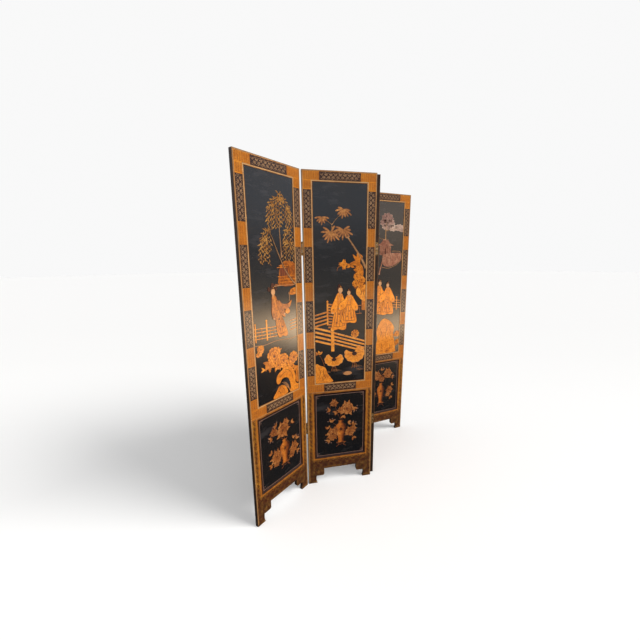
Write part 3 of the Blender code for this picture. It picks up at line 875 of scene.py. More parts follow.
def leaf_shape(x, z, angle, length, width, hook=0.25):
    """A small leaf that bends to one side, as an outline."""
    along, across = Vector((cos(angle), sin(angle))), Vector((-sin(angle), cos(angle)))
    sides = [[], []]
    for i in range(1, 4):
        t = i / 4
        middle = Vector((x, z)) + along * length * t + across * hook * length * t * t
        half = 0.5 * width * sin(pi * t ** 0.8)
        sides[0].append(middle + across * half)
        sides[1].append(middle - across * half)
    tip = Vector((x, z)) + along * length + across * hook * length
    return [Vector((x, z))] + sides[1] + [tip] + sides[0][::-1]


def scroll_pen(d, long=SCROLL, high=0.0125, tone=0.75, base=LEAF_LIFT, lift=0.0005, bold=1.0):
    """One wave of a vine; each hollow holds a curl with a flower in its eye and leaves round it."""
    wave = [(long * i / 12, 0.20 * high * sin(2 * pi * i / 12)) for i in range(13)]
    stroke(d, wave, 0.09 * bold * high, lift, tone, base=base)
    for x, side in ((0.25, -1), (0.75, 1)):
        x, z = x * long, side * 0.50 * high
        ring = curl(x, z, -pi / 2 * side, 4.9 * side, 0.52 * high)
        stroke(d, ring, lambda t: (0.17 - 0.08 * t) * bold * high, lift, tone, base=base)
        patch(d, oval(x, z, 0.17 * high, 0.17 * high, 6), lift, tone + 0.15, base=base)
        for turn, reach in ((0.9, 0.55), (1.7, 0.50), (2.6, 0.55), (3.6, 0.40)):
            a = side * (turn - pi / 2)
            leaf = leaf_shape(*polar(x, z, a, 0.52 * high), a + 0.5 * side, reach * high,
                              0.28 * bold * high, 0.3 * side)
            patch(d, leaf, lift, tone, base=base)
    for x, side in ((0.25, 1), (0.75, -1)):          # a small bloom faces every curl
        x, z = x * long, 0.72 * side * high
        stroke(d, [(x - 0.3 * high, 0.16 * side * high), (x, z)], 0.09 * bold * high, lift, tone, base=base)
        for k in range(5):
            a = k * 2 * pi / 5 + 0.4
            leaf = leaf_shape(*polar(x, z, a, 0.07 * high), a, 0.32 * high, 0.20 * bold * high, 0.0)
            patch(d, leaf, lift, tone - 0.1, base=base)
    for x, side in ((0.0, 1), (0.5, -1)):
        for a in (0.9, 2.0):
            leaf = leaf_shape(x * long, 0.1 * side * high, side * a, 0.95 * high, 0.26 * bold * high, 0.2)
            patch(d, leaf, lift, tone - 0.15, base=base)


scroll = motif("scroll_wave", scroll_pen)


def whole_runs(a, b, pitch):
    """The longest centred run of whole pitches between two points."""
    a, b = Vector(a), Vector(b)
    length = int((b - a).length / pitch + 0.001) * pitch
    middle, along = (a + b) / 2, (b - a).normalized()
    return [middle - along * length / 2, middle + along * (length / 2 + 0.0001)]


middle = sum(BAND) / 2
scroll_runs = [whole_runs((x, low + 0.005), (x, high - 0.005), SCROLL)
               for low, high in CARTOUCHES for x in (middle, PANEL_WIDTH - middle)]
for reach, band in ((CORNER_REACH, TOP_BAND), (T_REACH, MIDDLE_BAND)):
    z = sum(band) / 2
    scroll_runs.append(whole_runs((reach, z), (PANEL_WIDTH - reach, z), SCROLL))
for n in PANELS:
    lay_along(n, "cartouche_scrolls", scroll, SCROLL, scroll_runs, "scroll_tan")

# %% [markdown]
# Below the middle rail the border is simpler: olive gilt with small brown sprigs up the
# stiles, and one long brown scroll along the bottom rail.

# %% Sprigs and the bottom scroll
SPRIG, RAIL_SCROLL = 0.0272, 0.042


def sprig_pen(d):
    """A five-petalled flower on a bent stem with a leaf each side."""
    stroke(d, smooth([(0.0, 0.001), (0.007, -0.003), (0.014, 0.001), (0.021, 0.003), (0.0265, 0.0)], steps=2),
           0.0016, 0.0004, 0.5)
    for k in range(5):
        a = 0.3 + k * 2 * pi / 5
        patch(d, leaf_shape(*polar(0.0125, 0.0005, a, 0.001), a, 0.0062, 0.0046, 0.0), 0.0005, 0.65)
    for x, z, a in ((0.005, -0.002, -1.9), (0.006, -0.002, 2.0), (0.02, 0.003, 1.1), (0.021, 0.002, -1.0)):
        patch(d, leaf_shape(x, z, a, 0.0075, 0.0034), 0.0004, 0.45)


sprig = motif("sprig", sprig_pen)
rail_scroll = motif("rail_scroll", lambda d: scroll_pen(d, RAIL_SCROLL, 0.0215, 0.60, 0.0, 0.0005, 1.1))
sprig_x = (EDGE_IN + EDGE_LINE + LOWER_LINE[0]) / 2
sprig_runs = [whole_runs((x, low), (x, high), SPRIG)
              for low, high, places in ((0.012, 0.612, (sprig_x,)), (0.056, 0.098, (0.044, 0.076)),
                                        (0.012, 0.05, (0.038,)))
              for x in (*places, *(PANEL_WIDTH - place for place in places))]
rail_z = 0.5 * (BOTTOM_RAIL_BOTTOM + 0.006 + LOWER_LINE[1])
for n in PANELS:
    lay_along(n, "sprigs", sprig, SPRIG, sprig_runs, "brown_scroll")
    lay_along(n, "rail_scroll", rail_scroll, RAIL_SCROLL,
              [whole_runs((0.028, rail_z), (PANEL_WIDTH - 0.028, rail_z), RAIL_SCROLL)], "brown_scroll")

# %% [markdown]
# ## Flowers and willow
# A peony is rings of the same petal, larger and lower outside, smaller and higher in
# the middle. The tree builds one flower from three rings and sets it on every point of
# its input, at that point's own size, turned by a seeded random angle. The willow tree
# is simpler: leaves set left and right by turns along drooping strands.

# %% A tree that builds flowers on points
RINGS = (   # petals, radius, size and rise
    (8, 0.44, 0.60, 0.0), (7, 0.20, 0.52, 0.00035), (5, 0.03, 0.40, 0.0007))


def chance(tree, low, high, seed):
    """A seeded random number, or vector, for every instance."""
    kind, first = ("FLOAT_VECTOR", 0) if isinstance(low, tuple) else ("FLOAT", 2)
    limits = {"i%d" % first: low, "i%d" % (first + 1): high}
    return wire(tree, "FunctionNodeRandomValue", {"data_type": kind}, Seed=seed, **limits).outputs[first // 2]


flowers, sizes, FLOWERS = new_tree("flowers_on_points", {
    "Petal": "Object", "Finish": "Material", "Seed": "Int"})
petal_shape = shape_of(flowers, sizes["Petal"])
joined = flowers.nodes.new("GeometryNodeJoinGeometry")
for k, (count, radius, scale, rise) in enumerate(RINGS):
    ring = wire(flowers, "GeometryNodeMeshCircle", Vertices=count, Radius=radius)
    stood = wire(flowers, "GeometryNodeTransform", Geometry=ring.outputs[0], Rotation=(radians(90), 0, 0))
    outward = turn_to(flowers, wire(flowers, "GeometryNodeInputPosition").outputs[0])
    petals = set_on(flowers, stood.outputs[0], petal_shape, outward,
                    Scale=chance(flowers, 0.88 * scale, 1.12 * scale, k))
    lifts = chance(flowers, (0, -rise * 30 - 0.01, 0), (0, -rise * 30, 0), k + 7)
    raised = wire(flowers, "GeometryNodeTranslateInstances", Instances=petals, Translation=lifts,
                  Local_Space=False)
    flowers.links.new(raised.outputs[0], joined.inputs[0])
size_of = wire(flowers, "GeometryNodeInputNamedAttribute", {"data_type": "FLOAT"}, Name="size").outputs[0]
scale = wire(flowers, "ShaderNodeCombineXYZ", X=size_of, Y=0.03, Z=size_of).outputs[0]
spin = chance(flowers, (0, 0, 0), (0, 6.28, 0), sizes["Seed"])
end_tree(flowers, set_on(flowers, sizes["Geometry"], joined.outputs[0], spin, Scale=scale), sizes["Finish"])


def petal_pen(d):
    """A broad petal with a split edge, one unit long, bright at its lip."""
    edge = [(0.00, -0.12), (0.30, -0.44), (0.66, -0.58), (0.93, -0.40), (1.00, -0.16), (0.92, 0.0),
            (1.00, 0.16), (0.93, 0.40), (0.66, 0.58), (0.30, 0.44), (0.00, 0.12)]
    layer = d.verts.layers.float["tone"]
    low = [d.verts.new((x, 0.03, z)) for x, z in edge]
    high = [d.verts.new((0.06 + 0.90 * x, -0.022 - 0.012 * x, 0.88 * z)) for x, z in edge]
    # tone is 0 round the petal's foot and rises toward the lip: painted shade at the root, painted highlight at
    # the lip
    for k, (a, b) in enumerate(zip(low, high)):
        a[layer], b[layer] = 0.0, 0.10 + 0.85 * edge[k][0]
    d.faces.new(high[::-1])
    d.faces.new(low)
    for i in range(len(edge)):
        j = (i + 1) % len(edge)
        d.faces.new((low[i], high[i], high[j], low[j]))


petal = motif("petal", petal_pen)


def set_flowers(n, name, spots, depth, lift=0.0004, seed=1, finish="picture_gilt"):
    """Flowers on panel n; each spot is (x, z, radius)."""
    mesh = bpy.data.meshes.new("spots")
    mesh.from_pydata([(x, depth - lift, z) for x, z, _ in spots], [], [])
    mesh.attributes.new("size", "FLOAT", "POINT").data.foreach_set("value", [0.95 * r for *_, r in spots])
    made = grow(flowers, FLOWERS, mesh, Petal=petal, Finish=FINISH[finish], Seed=seed)
    return hang(n, name, made, [finish])


# %% A tree that sets leaves along strands
willow, sizes, WILLOW = new_tree("leaves_on_strands", {
    "Leaf": "Object", "Pitch": "Float", "Spread": "Float", "Finish": "Material", "Seed": "Int"})
index = wire(willow, "GeometryNodeInputIndex").outputs[0]
side = sums(willow, "MULTIPLY_ADD", sums(willow, "MODULO", index, 2.0), 2.0, -1.0)
angle = sums(willow, "MULTIPLY_ADD", side, sizes["Spread"], chance(willow, -0.3, 0.3, sizes["Seed"]))
swung = wire(willow, "FunctionNodeEulerToRotation", i0=wire(willow, "ShaderNodeCombineXYZ", Y=angle).outputs[0])
turned = wire(willow, "FunctionNodeRotateRotation", {"rotation_space": "LOCAL"},
              i0=turn_to(willow, tangent(willow)), i1=swung.outputs[0]).outputs[0]
set_out = set_on(willow, stops_along(willow, sizes), shape_of(willow, sizes["Leaf"]), turned,
                 Scale=chance(willow, 0.75, 1.2, 5))
end_tree(willow, set_out, sizes["Finish"])


def leaf_pen(length, width, lift=0.0005, tone=0.7):
    """A pen that draws one ridge-backed leaf along x."""
    return lambda d: stroke(d, [(length * i / 4, 0) for i in range(5)],
                            lambda t: width * sin(pi * (0.06 + 0.9 * t)) ** 0.8, lift, tone)


willow_leaf = motif("willow_leaf", leaf_pen(0.0165, 0.0062, 0.0006, 0.75))
bamboo_leaf = motif("bamboo_leaf", leaf_pen(0.026, 0.0048, 0.0004))


def set_leaves(n, name, strands, leaf, pitch, spread, depth, seed=1, finish="picture_gilt", behind=False):
    """Leaves along (x, z) strands, on the painted face or turned to the back."""
    made = grow(willow, WILLOW, lines_mesh(strands), Leaf=leaf, Pitch=pitch, Spread=spread,
                Finish=FINISH[finish], Seed=seed)
    made.transform(Matrix.Translation((0, depth, 0)) @ Matrix.Scale(-1 if behind else 1, 4, (0, 1, 0)))
    if behind:
        made.flip_normals()
    return hang(n, name, made, [finish])


print("trees", flowers.name, "and", willow.name)

# %% [markdown]
# ## Things in the pictures
# Each thing is a small function that draws it anywhere at any size: trunks, rocks,
# fences, lotus leaves, vases and people. Bodies come first, then lines on top of them,
# each a little higher, which is the order in which the lacquer was built up.

# %% Plants and rocks
PAINTS = ["picture_gilt", "robe_gilt", "pale_paint", "dark_paint"]
TRUNK_PAINTS = ["trunk_tan", "trunk_tan", "pale_paint", "dark_paint"]
PALM_PAINTS = ["palm_gilt", "trunk_tan", "pale_paint", "dark_paint"]
LADY_PAINTS = ["picture_gilt", "picture_gilt", "pale_paint", "dark_paint"]
POSY_PAINTS = ["posy_gilt", "vase_gilt", "dim_bead", "dark_paint"]
DULL_PAINTS = ["dull_red", "trunk_tan", "pale_paint", "dark_paint"]
CLOUD_PAINTS = ["cloud_pink", "trunk_tan", "pale_paint", "dark_paint"]
GILT, ROBE, PALE, DARK = range(4)


def mm(*values, each=2):
    """Points from numbers in millimetres: x, z and x, z again, or more numbers for each."""
    return [tuple(v / 1000 for v in values[k:k + each]) for k in range(0, len(values), each)]


def brush(d, points, *how, **more):
    """A stroke rounded through the points."""
    stroke(d, smooth(points), *how, **more)


def score(d, path, width, lift, tone, base=0.0):
    """A dark line."""
    stroke(d, path, width, lift, tone, finish=DARK, base=base)


def trunk(d, points, start, end, tone=0.7, base=0.0):
    """A tapering trunk with dark furrows and knots."""
    path = smooth(points, steps=5)
    stroke(d, path, lambda t: start + (end - start) * t, 0.001, tone, 0.25, base=base)
    for shift in (-0.22, 0.24):
        width = max(start, end) * shift
        score(d, [p + Vector((width, 0)) for p in path[2:-2]], 0.0009, 0.0003, 0.05, base=base + 0.0007)


def spray(d, x, z, reach, angles, width, droop=0.25, tone=0.7):
    """A palm's spray: broad leaflets from one point, bending down toward their tips."""
    for k, degrees in enumerate(angles):
        a = radians(degrees)
        long = reach * (0.88 + 0.12 * cos(2.1 * k))
        bend = droop * long * max(0.0, cos(a) ** 2)
        path = [(x + long * t * cos(a), z + long * t * sin(a) - bend * t * t)
                for t in (0.0, 0.2, 0.4, 0.6, 0.8, 0.93, 1.0)]
        stroke(d, path, lambda t: width * (0.16 + 0.84 * sin(pi * min(1.0, 0.10 + 0.86 * t)) ** 0.9),
               0.0008 + 0.0002 * (k % 3), tone - 0.12 * (k % 2), tone - 0.5)
        score(d, path[:-1], 0.0007, 0.0002, 0.0, base=0.0008 + 0.0002 * (k % 3))


def rock(d, outline, cracks=(), tone=0.6, lift=0.0008):
    """A worn garden rock: a raised patch, a bright rim and dark clefts."""
    edge = smooth(outline, closed=True, steps=3)
    patch(d, edge, lift, tone, tone - 0.45)
    stroke(d, edge + edge[:2], 0.0022, 0.0004, tone + 0.25, base=lift - 0.0002)
    for crack in cracks:
        score(d, smooth(crack), lambda t: 0.0006 + 0.0038 * sin(pi * t), 0.0004, 0.05, base=lift)


def blades(d, x, z, length, angles, width=None, tone=0.55):
    """Leaves spread from one point."""
    for k, degrees in enumerate(angles):
        a = radians(degrees)
        leaf = leaf_shape(x, z, a, length, width or 0.42 * length, 0.25 if k % 2 else -0.25)
        patch(d, leaf, 0.0005 + 0.0001 * (k % 3), tone - 0.1 * (k % 2), tone - 0.4)
        score(d, [leaf[0], leaf[4]], 0.0006, 0.0002, 0.0, base=0.0005 + 0.0001 * (k % 3))


def lotus(d, x, z, wide, high, turn=0.0):
    """A curled lotus leaf: a ruffled crescent, open at the top, with dark veins and a pale lip."""
    lip = []
    for k in range(49):
        a = radians(128 + turn + 284 * k / 48)
        ruffle = 0.93 + 0.09 * abs(sin(pi * k / 5.33))
        lip.append(polar(x, z, a, 0.5 * wide * ruffle, 0.5 * high * ruffle))
    notch = []
    for degrees, reach in ((50, 0.46), (75, 0.20), (90, 0.10), (105, 0.20), (130, 0.46)):
        a = radians(degrees + turn)
        notch.append(polar(x, z, a, 0.5 * wide * reach, 0.5 * high * reach))
    patch(d, lip + notch, 0.0008, 0.78, 0.35)
    stroke(d, lip, 0.003, 0.0004, 0.85, base=0.0006, finish=PALE)
    for k in range(1, 9):
        a = radians(128 + turn + 284 * k / 9)
        score(d, [polar(x, z, a, 0.5 * wide * r, 0.5 * high * r) for r in (0.25, 0.84)],
              lambda t: 0.0026 - 0.0018 * t, 0.0003, 0.25, base=0.0008)
    patch(d, oval(x, z, 0.13 * wide, 0.12 * high, 10), 0.0004, 0.2, 0.05, DARK, 0.0009)


def ripples(d, spots):
    for x, z, long in spots:
        for k in range(3):
            start = x - long / 2 + 0.006 * (k % 2)
            stroke(d, [(start + long * t * (1 - 0.15 * k), z + 0.0045 * k + 0.0012 * sin(9 * t + k))
                       for t in (0, 0.2, 0.4, 0.6, 0.8, 1.0)], lambda t: 0.0006 + 0.0018 * sin(pi * t), 0.0004,
                   0.35, finish=PALE)


def post(d, x, z0, z1, width=0.0075, tone=0.75):
    """A fence post with a round cap."""
    patch(d, rectangle(x - width / 2, x + width / 2, z0, z1), 0.0011, tone, tone - 0.3)
    patch(d, oval(x, z1 + 0.6 * width, 0.62 * width, 0.62 * width, 10), 0.0012, tone + 0.15, tone - 0.3)
    score(d, [(x - 0.7 * width, z1 - 0.001), (x + 0.7 * width, z1 - 0.001)], 0.0016, 0.0004, 0.1, base=0.0011)


def rails(d, a, b, count, gap, width=0.006, tone=0.7):
    """Parallel rails, the first between the given points and the rest below, each with a pale upper edge."""
    for k in range(count):
        low, high = Vector((a[0], a[1] - k * gap)), Vector((b[0], b[1] - k * gap))
        across = (high - low).normalized()
        up = Vector((-across.y, across.x)) * 0.5 * width
        patch(d, [low - up, high - up, high + up, low + up], 0.0007, tone, tone - 0.2)
        stroke(d, [low + 0.8 * up, high + 0.8 * up], 0.28 * width, 0.0004, 0.8, finish=PALE, base=0.0006)


# %% People
FACE_LINES = (   # brows, eyes, nose and mouth on an oval one unit high, looking to the side
    [(-0.24, 0.14), (-0.14, 0.19), (-0.03, 0.15)], [(0.13, 0.15), (0.22, 0.19), (0.31, 0.14)],
    [(-0.21, 0.05), (-0.13, 0.07), (-0.04, 0.04)], [(0.14, 0.04), (0.21, 0.07), (0.29, 0.05)],
    [(0.09, 0.06), (0.11, -0.10), (0.05, -0.12)], [(0.00, -0.24), (0.07, -0.26), (0.15, -0.24)])
FACE_WIDTHS = (0.0005, 0.0005, 0.0008, 0.0008, 0.0004, 0.0009)
FACE_TONES = (0.4, 0.4, 0.4, 0.4, 0.4, 0.95)
ROBE_EDGE = [(-0.20, 0.0), (-0.23, 0.10), (-0.17, 0.35), (-0.12, 0.55), (-0.15, 0.70), (-0.10, 0.80),
             (-0.04, 0.85), (0.04, 0.85), (0.10, 0.80), (0.14, 0.70), (0.12, 0.55), (0.18, 0.35), (0.25, 0.12),
             (0.23, 0.0), (0.10, -0.015), (0.0, 0.01), (-0.10, -0.01)]
SLEEVES = ([(-0.09, 0.79), (-0.18, 0.66), (-0.27, 0.50), (-0.26, 0.38), (-0.16, 0.37), (-0.07, 0.47),
            (-0.05, 0.64)], [(0.08, 0.79), (0.16, 0.70), (0.28, 0.62), (0.34, 0.52), (0.31, 0.39), (0.20, 0.41),
                             (0.11, 0.50), (0.05, 0.64)])
FOLDS = ([(-0.10, 0.52), (-0.13, 0.30), (-0.17, 0.05)], [(-0.04, 0.52), (-0.05, 0.28), (-0.08, 0.04)],
         [(0.02, 0.52), (0.04, 0.28), (0.02, 0.04)], [(0.08, 0.52), (0.11, 0.30), (0.12, 0.05)],
         [(0.11, 0.48), (0.16, 0.28), (0.20, 0.06)], [(-0.16, 0.64), (-0.21, 0.52), (-0.21, 0.42)],
         [(-0.10, 0.68), (-0.15, 0.55), (-0.15, 0.44)], [(0.14, 0.64), (0.23, 0.57), (0.26, 0.46)],
         [(0.10, 0.68), (0.15, 0.58), (0.19, 0.46)], [(-0.21, 0.09), (-0.02, 0.06), (0.22, 0.10)])


def person(d, x, z, tall, wide=1.0, facing=1, lean=0.0, fan=False, base=0.0005, sleeve_tone=0.72):
    """A standing figure in a robe: hem at (x, z); lean slides the shoulders sideways."""

    def at(points):
        return [(x + facing * wide * tall * a + lean * tall * b, z + tall * b) for a, b in points]

    def on_head(a, b, rx, rz, count, lift, tone, rim, finish, up):
        shape = oval(cx + facing * a * high, cz + b * high, rx * high, rz * high, count)
        patch(d, shape, lift, tone, rim, finish, base + up)

    hem = smooth(at(ROBE_EDGE), True, 3)
    patch(d, hem, 0.0008, 0.60, 0.05, ROBE, base)
    score(d, hem + hem[:2], 0.0022, 0.0003, 0.4, base=base + 0.0004)
    for sleeve in SLEEVES:
        edge = smooth(at(sleeve), True, 3)
        patch(d, edge, 0.0007, sleeve_tone, 0.05, ROBE, base + 0.0006)
        score(d, edge + edge[:2], 0.0018, 0.0003, 0.4, base=base + 0.001)
    for fold in FOLDS:
        score(d, smooth(at(fold), steps=3), lambda t: 0.0006 + 0.003 * sin(pi * t), 0.0003, 0.75,
              base=base + 0.0009)
    score(d, smooth(at([(-0.12, 0.56), (0.0, 0.54), (0.12, 0.56)])), 0.003, 0.0004, 0.5, base=base + 0.0008)
    for a, b in (((-0.07, 0.83), (0.02, 0.66)), ((0.07, 0.83), (-0.03, 0.66))):
        stroke(d, at([a, b]), 0.002, 0.0004, 0.8, finish=PALE, base=base + 0.0009)
    for a, b in ((-0.07, 0.16), (0.07, 0.20), (0.0, 0.36), (-0.19, 0.47), (0.24, 0.52)):
        cx, cz = at([(a, b)])[0]
        patch(d, oval(cx, cz, 0.018 * tall, 0.018 * tall, 8), 0.0003, 0.3, 0.1, DARK, base + 0.001)
    # the head in turn: neck, hair behind, face, hair in front, bun, gilt pin
    high = 0.145 * tall
    cx, cz = at([(0.012, 0.0)])[0][0] + lean * tall * 0.92, z + 0.915 * tall
    on_head(0.0, -0.52, 0.17, 0.22, 8, 0.0005, 0.7, 0.3, PALE, 0.0008)
    on_head(-0.06, 0.08, 0.46, 0.52, 14, 0.0005, 0.25, 0.0, DARK, 0.0008)
    on_head(0.05, -0.05, 0.355, 0.45, 16, 0.0006, 0.9, 0.5, PALE, 0.001)
    hairline = [(-0.42, 0.05), (-0.30, 0.24), (-0.05, 0.33), (0.25, 0.30), (0.40, 0.14), (0.36, 0.40),
                (0.10, 0.58), (-0.22, 0.55), (-0.44, 0.34)]
    hairline = smooth([(cx + facing * a * high, cz + b * high) for a, b in hairline], True, 3)
    patch(d, hairline, 0.0005, 0.3, 0.0, DARK, base + 0.0014)
    on_head(-0.12, 0.68, 0.22, 0.19, 10, 0.0007, 0.35, 0.0, DARK, 0.001)
    on_head(0.10, 0.52, 0.07, 0.07, 6, 0.0003, 0.9, 0.5, GILT, 0.0019)
    for points, width, tone in zip(FACE_LINES, FACE_WIDTHS, FACE_TONES):
        feature = smooth([(cx + facing * (a - 0.02) * high, cz + b * high) for a, b in points], steps=2)
        score(d, feature, width, 0.0002, tone, base=base + 0.0015)
    for a, b in ((0.31, 0.45), (-0.22, 0.385)):
        hx, hz = at([(a, b)])[0]
        patch(d, oval(hx, hz, 0.026 * tall, 0.018 * tall, 8), 0.0004, 0.8, 0.4, PALE, base + 0.0012)
    if fan:
        hx, hz = at([(0.36, 0.47)])[0]
        stroke(d, [(hx - facing * 0.012, hz - 0.006), (hx, hz)], 0.0016, 0.0005, 0.5, base=base + 0.0012)
        hx, hz = hx + facing * 0.016, hz + 0.006
        patch(d, oval(hx, hz, 0.018, 0.014), 0.0005, 0.75, 0.3, ROBE, base + 0.0012)
        rim = oval(hx, hz, 0.014, 0.01)
        score(d, rim + rim[:1], 0.0006, 0.0002, 0.1, base=base + 0.0017)


# %% Vases and houses
VASE = [(0.00, 0.56), (0.05, 0.58), (0.12, 0.52), (0.24, 0.58), (0.38, 0.74), (0.56, 0.97), (0.70, 1.00),
        (0.80, 0.84), (0.88, 0.48), (0.94, 0.40), (1.00, 0.54)]
VASE_BANDS = ((0.10, 0.38, 0.1), (0.34, 0.66, 0.15), (0.78, 0.74, 0.15), (0.91, 0.33, 0.1), (0.985, 0.46, 0.8))


def swell(d, x, side, lift, finish):
    """A rounded relief of a turned body: its right-hand outline, mirrored, bulging to the lift."""
    layer, rows, steps = d.verts.layers.float["tone"], [], 10
    widest = max(p.x - x for p in side)
    for p in side:
        row = []
        for k in range(steps + 1):
            t = -1 + 2 * k / steps
            bulge = sqrt(max(0.0, 1 - t * t)) * (0.35 + 0.65 * (p.x - x) / widest)
            vert = d.verts.new((x + (p.x - x) * t, -(lift * bulge - SUNK), p.y))
            # tone is brightest a little left of the middle and falls off to the sides: a painted highlight and
            # painted shade on the bulge
            vert[layer] = 0.85 - 0.75 * (t + 0.35) ** 2
            row.append(vert)
        rows.append(row)
    for low, high in zip(rows, rows[1:]):
        for k in range(steps):
            d.faces.new((low[k], low[k + 1], high[k + 1], high[k])).material_index = finish
        d.faces.new((low[0], high[0], high[steps], low[steps])).material_index = finish
    d.faces.new(rows[0][::-1]).material_index = finish
    d.faces.new(rows[-1]).material_index = finish


def vase(d, x, z0, z1, width, finish=ROBE):
    """A vase on a carved stand; the profile is (height, half width) in its own units."""
    high = z1 - z0
    right = smooth([(x + 0.5 * width * w, z0 + high * h) for h, w in VASE], steps=2)
    swell(d, x, right, 0.0018, finish)
    for h, w, tone in VASE_BANDS:
        level, half = z0 + high * h, 0.5 * width * w
        brush(d, [(x - half, level), (x, level - 0.05 * width), (x + half, level)], 0.0013, 0.0003, tone,
              base=0.0016)
    ring = oval(x, z0 + 0.60 * high, 0.26 * width, 0.13 * high, 12)
    stroke(d, ring + ring[:1], 0.0012, 0.0004, 0.1, base=0.0015)
    for k in range(6):
        a = pi * k / 3
        patch(d, leaf_shape(x, z0 + 0.60 * high, a, 0.20 * width, 0.10 * width, 0.0), 0.0005, 0.25, 0.0,
              base=0.0016)
    top, half = z0, 0.40 * width
    patch(d, rectangle(x - half, x + half, top - 0.006, top + 0.001), 0.0011, 0.5, 0.1)
    for side in (-1, 1):
        leg = smooth([(x + side * half * 0.8, top - 0.005), (x + side * half * 0.55, top - 0.018),
                      (x + side * half * 1.05, top - 0.03)])
        stroke(d, leg, 0.0052, 0.0008, 0.45)
    brush(d, [(x - half * 0.7, top - 0.012), (x, top - 0.017), (x + half * 0.7, top - 0.012)], 0.004, 0.0007,
          0.4)


def roof(d, x, z, wide, high, tone=0.55):
    """A hipped roof with lifted corners and rows of tile."""

    def at(*points):
        return [(x + a * wide, z + b * high) for a, b in points]

    outline = at((-0.52, 0.20), (-0.36, 0.10), (0, 0), (0.36, 0.10), (0.52, 0.20), (0.30, 0.48), (0.16, 1),
                 (-0.16, 1), (-0.30, 0.48))
    patch(d, outline, 0.001, tone, 0.2)
    for k in range(-5, 6):
        tile = at((0.028 * k, 0.96), (0.05 * k, 0.5), (0.085 * k, 0.14))
        score(d, tile, 0.0009, 0.0003, 0.05, base=0.001)
    stroke(d, outline[:5], 0.0022, 0.0005, 0.9, base=0.0008)
    stroke(d, at((-0.19, 1), (0.19, 1)), 0.003, 0.0005, 0.9, base=0.0008)


def house(d, x, z0, z1, wide, bays=3, tone=0.5):
    """Walls with posts, lattice and a dark opening in the middle bay."""
    patch(d, rectangle(x - wide / 2, x + wide / 2, z0, z1), 0.0007, tone, 0.1)
    step = wide / bays
    for k in range(bays + 1):
        px = x - wide / 2 + k * step
        stroke(d, [(px, z0), (px, z1)], 0.003, 0.0006, 0.85, base=0.0006)
    for k in range(bays):
        px = x - wide / 2 + (k + 0.5) * step
        if k == bays // 2:
            patch(d, rectangle(px - 0.34 * step, px + 0.34 * step, z0 + 0.002, z0 + 0.75 * (z1 - z0)), 0.0003,
                  0.5, 0.2, DARK, 0.0007)
        else:
            for j in range(1, 5):
                level = z0 + (z1 - z0) * j / 5
                score(d, [(px - 0.4 * step, level), (px + 0.4 * step, level)], 0.001, 0.0003, 0.1, base=0.0007)
            for j in (-0.2, 0.0, 0.2):
                score(d, [(px + j * step, z0), (px + j * step, z1)], 0.0008, 0.0003, 0.1, base=0.0007)
    stroke(d, [(x - wide / 2 - 0.004, z0), (x + wide / 2 + 0.004, z0)], 0.004, 0.0008, 0.85)


print("paint pots", PAINTS)

# %% [markdown]
# ## The upper pictures
# Each panel tells its own part of a garden: a tall tree at the top, people or a house
# in the middle, fences across, and rocks, peonies and lotus at the foot. Every picture
# is set out on its panel, x from the panel's left end and z from the floor: single
# places in metres, and paths and outlines in millimetres, which mm() turns into metres.

# %% Panel 2: palms, two people and a lotus pond


def palm_trunks(d):
    trunk(d, mm(243, 1505, 273, 1464, 305, 1418, 328, 1382, 352, 1336), 0.01, 0.018)
    trunk(d, mm(152, 1520, 156, 1548, 158, 1570), 0.007, 0.005)
    trunk(d, mm(158, 1566, 178, 1592, 212, 1625), 0.005, 0.0035)
    trunk(d, mm(157, 1566, 138, 1580, 112, 1596), 0.005, 0.0035)


def palms(d):
    spray(d, 0.222, 1.642, 0.046, (172, 205, 232, 258, 284, 310, 340, 8, 150), 0.013, 0.30)
    spray(d, 0.103, 1.602, 0.039, (175, 210, 240, 268, 300, 335, 5), 0.012, 0.22)
    spray(d, 0.15, 1.525, 0.055, (165, 196, 224, 250, 276, 302, 330, 352, 20, 140, 60), 0.015, 0.26)
    spray(d, 0.222, 1.538, 0.052, (170, 200, 232, 262, 292, 320, 348, 15, 40, 150), 0.014, 0.26)


def palm_foot(d):
    blades(d, 0.318, 1.368, 0.062, (200, 172, 148, 228, 120, 252), 0.02, 0.6)
    blades(d, 0.336, 1.33, 0.058, (196, 168, 222, 246, 140), 0.02, 0.62)
    blades(d, 0.33, 1.39, 0.03, (150, 110, 190), 0.012, 0.65)
    brush(d, mm(222.5, 1352, 206, 1348, 190, 1342, 184, 1322), 0.0022, 0.0006, 0.7)
    brush(d, mm(222.5, 1356, 250, 1352, 285, 1350), 0.0026, 0.0006, 0.6)
    blades(d, 0.2225, 1.358, 0.03, (15, 60, 105, 150, 195, 250, 300), 0.013, 0.7)
    blades(d, 0.262, 1.352, 0.028, (40, 150, 220, 320), 0.012, 0.65)
    rock(d, mm(300, 1225, 298, 1195, 312, 1178, 330, 1160, 353.5, 1158, 353.5, 1240, 330, 1238),
         (mm(318, 1225, 328, 1205, 322, 1185), mm(345, 1228, 340, 1200, 348, 1175)), 0.85)
    patch(d, rectangle(0.33, 0.3535, 1.1, 1.168), 0.0006, 0.55, 0.2)
    for z in (1.112, 1.128, 1.144, 1.158):
        score(d, [(0.331, z), (0.353, z)], 0.0016, 0.0003, 0.1, base=0.0006)
    blades(d, 0.32, 1.262, 0.03, (20, 80, 140, 200, 260, 320), 0.013, 0.5)
    blades(d, 0.3, 1.24, 0.022, (150, 200, 250), 0.01, 0.5)


def couple(d):
    person(d, 0.193, 0.993, 0.248, 0.72, 1, 0.03)
    person(d, 0.256, 1.03, 0.19, 1.00, -1, base=0.0021)


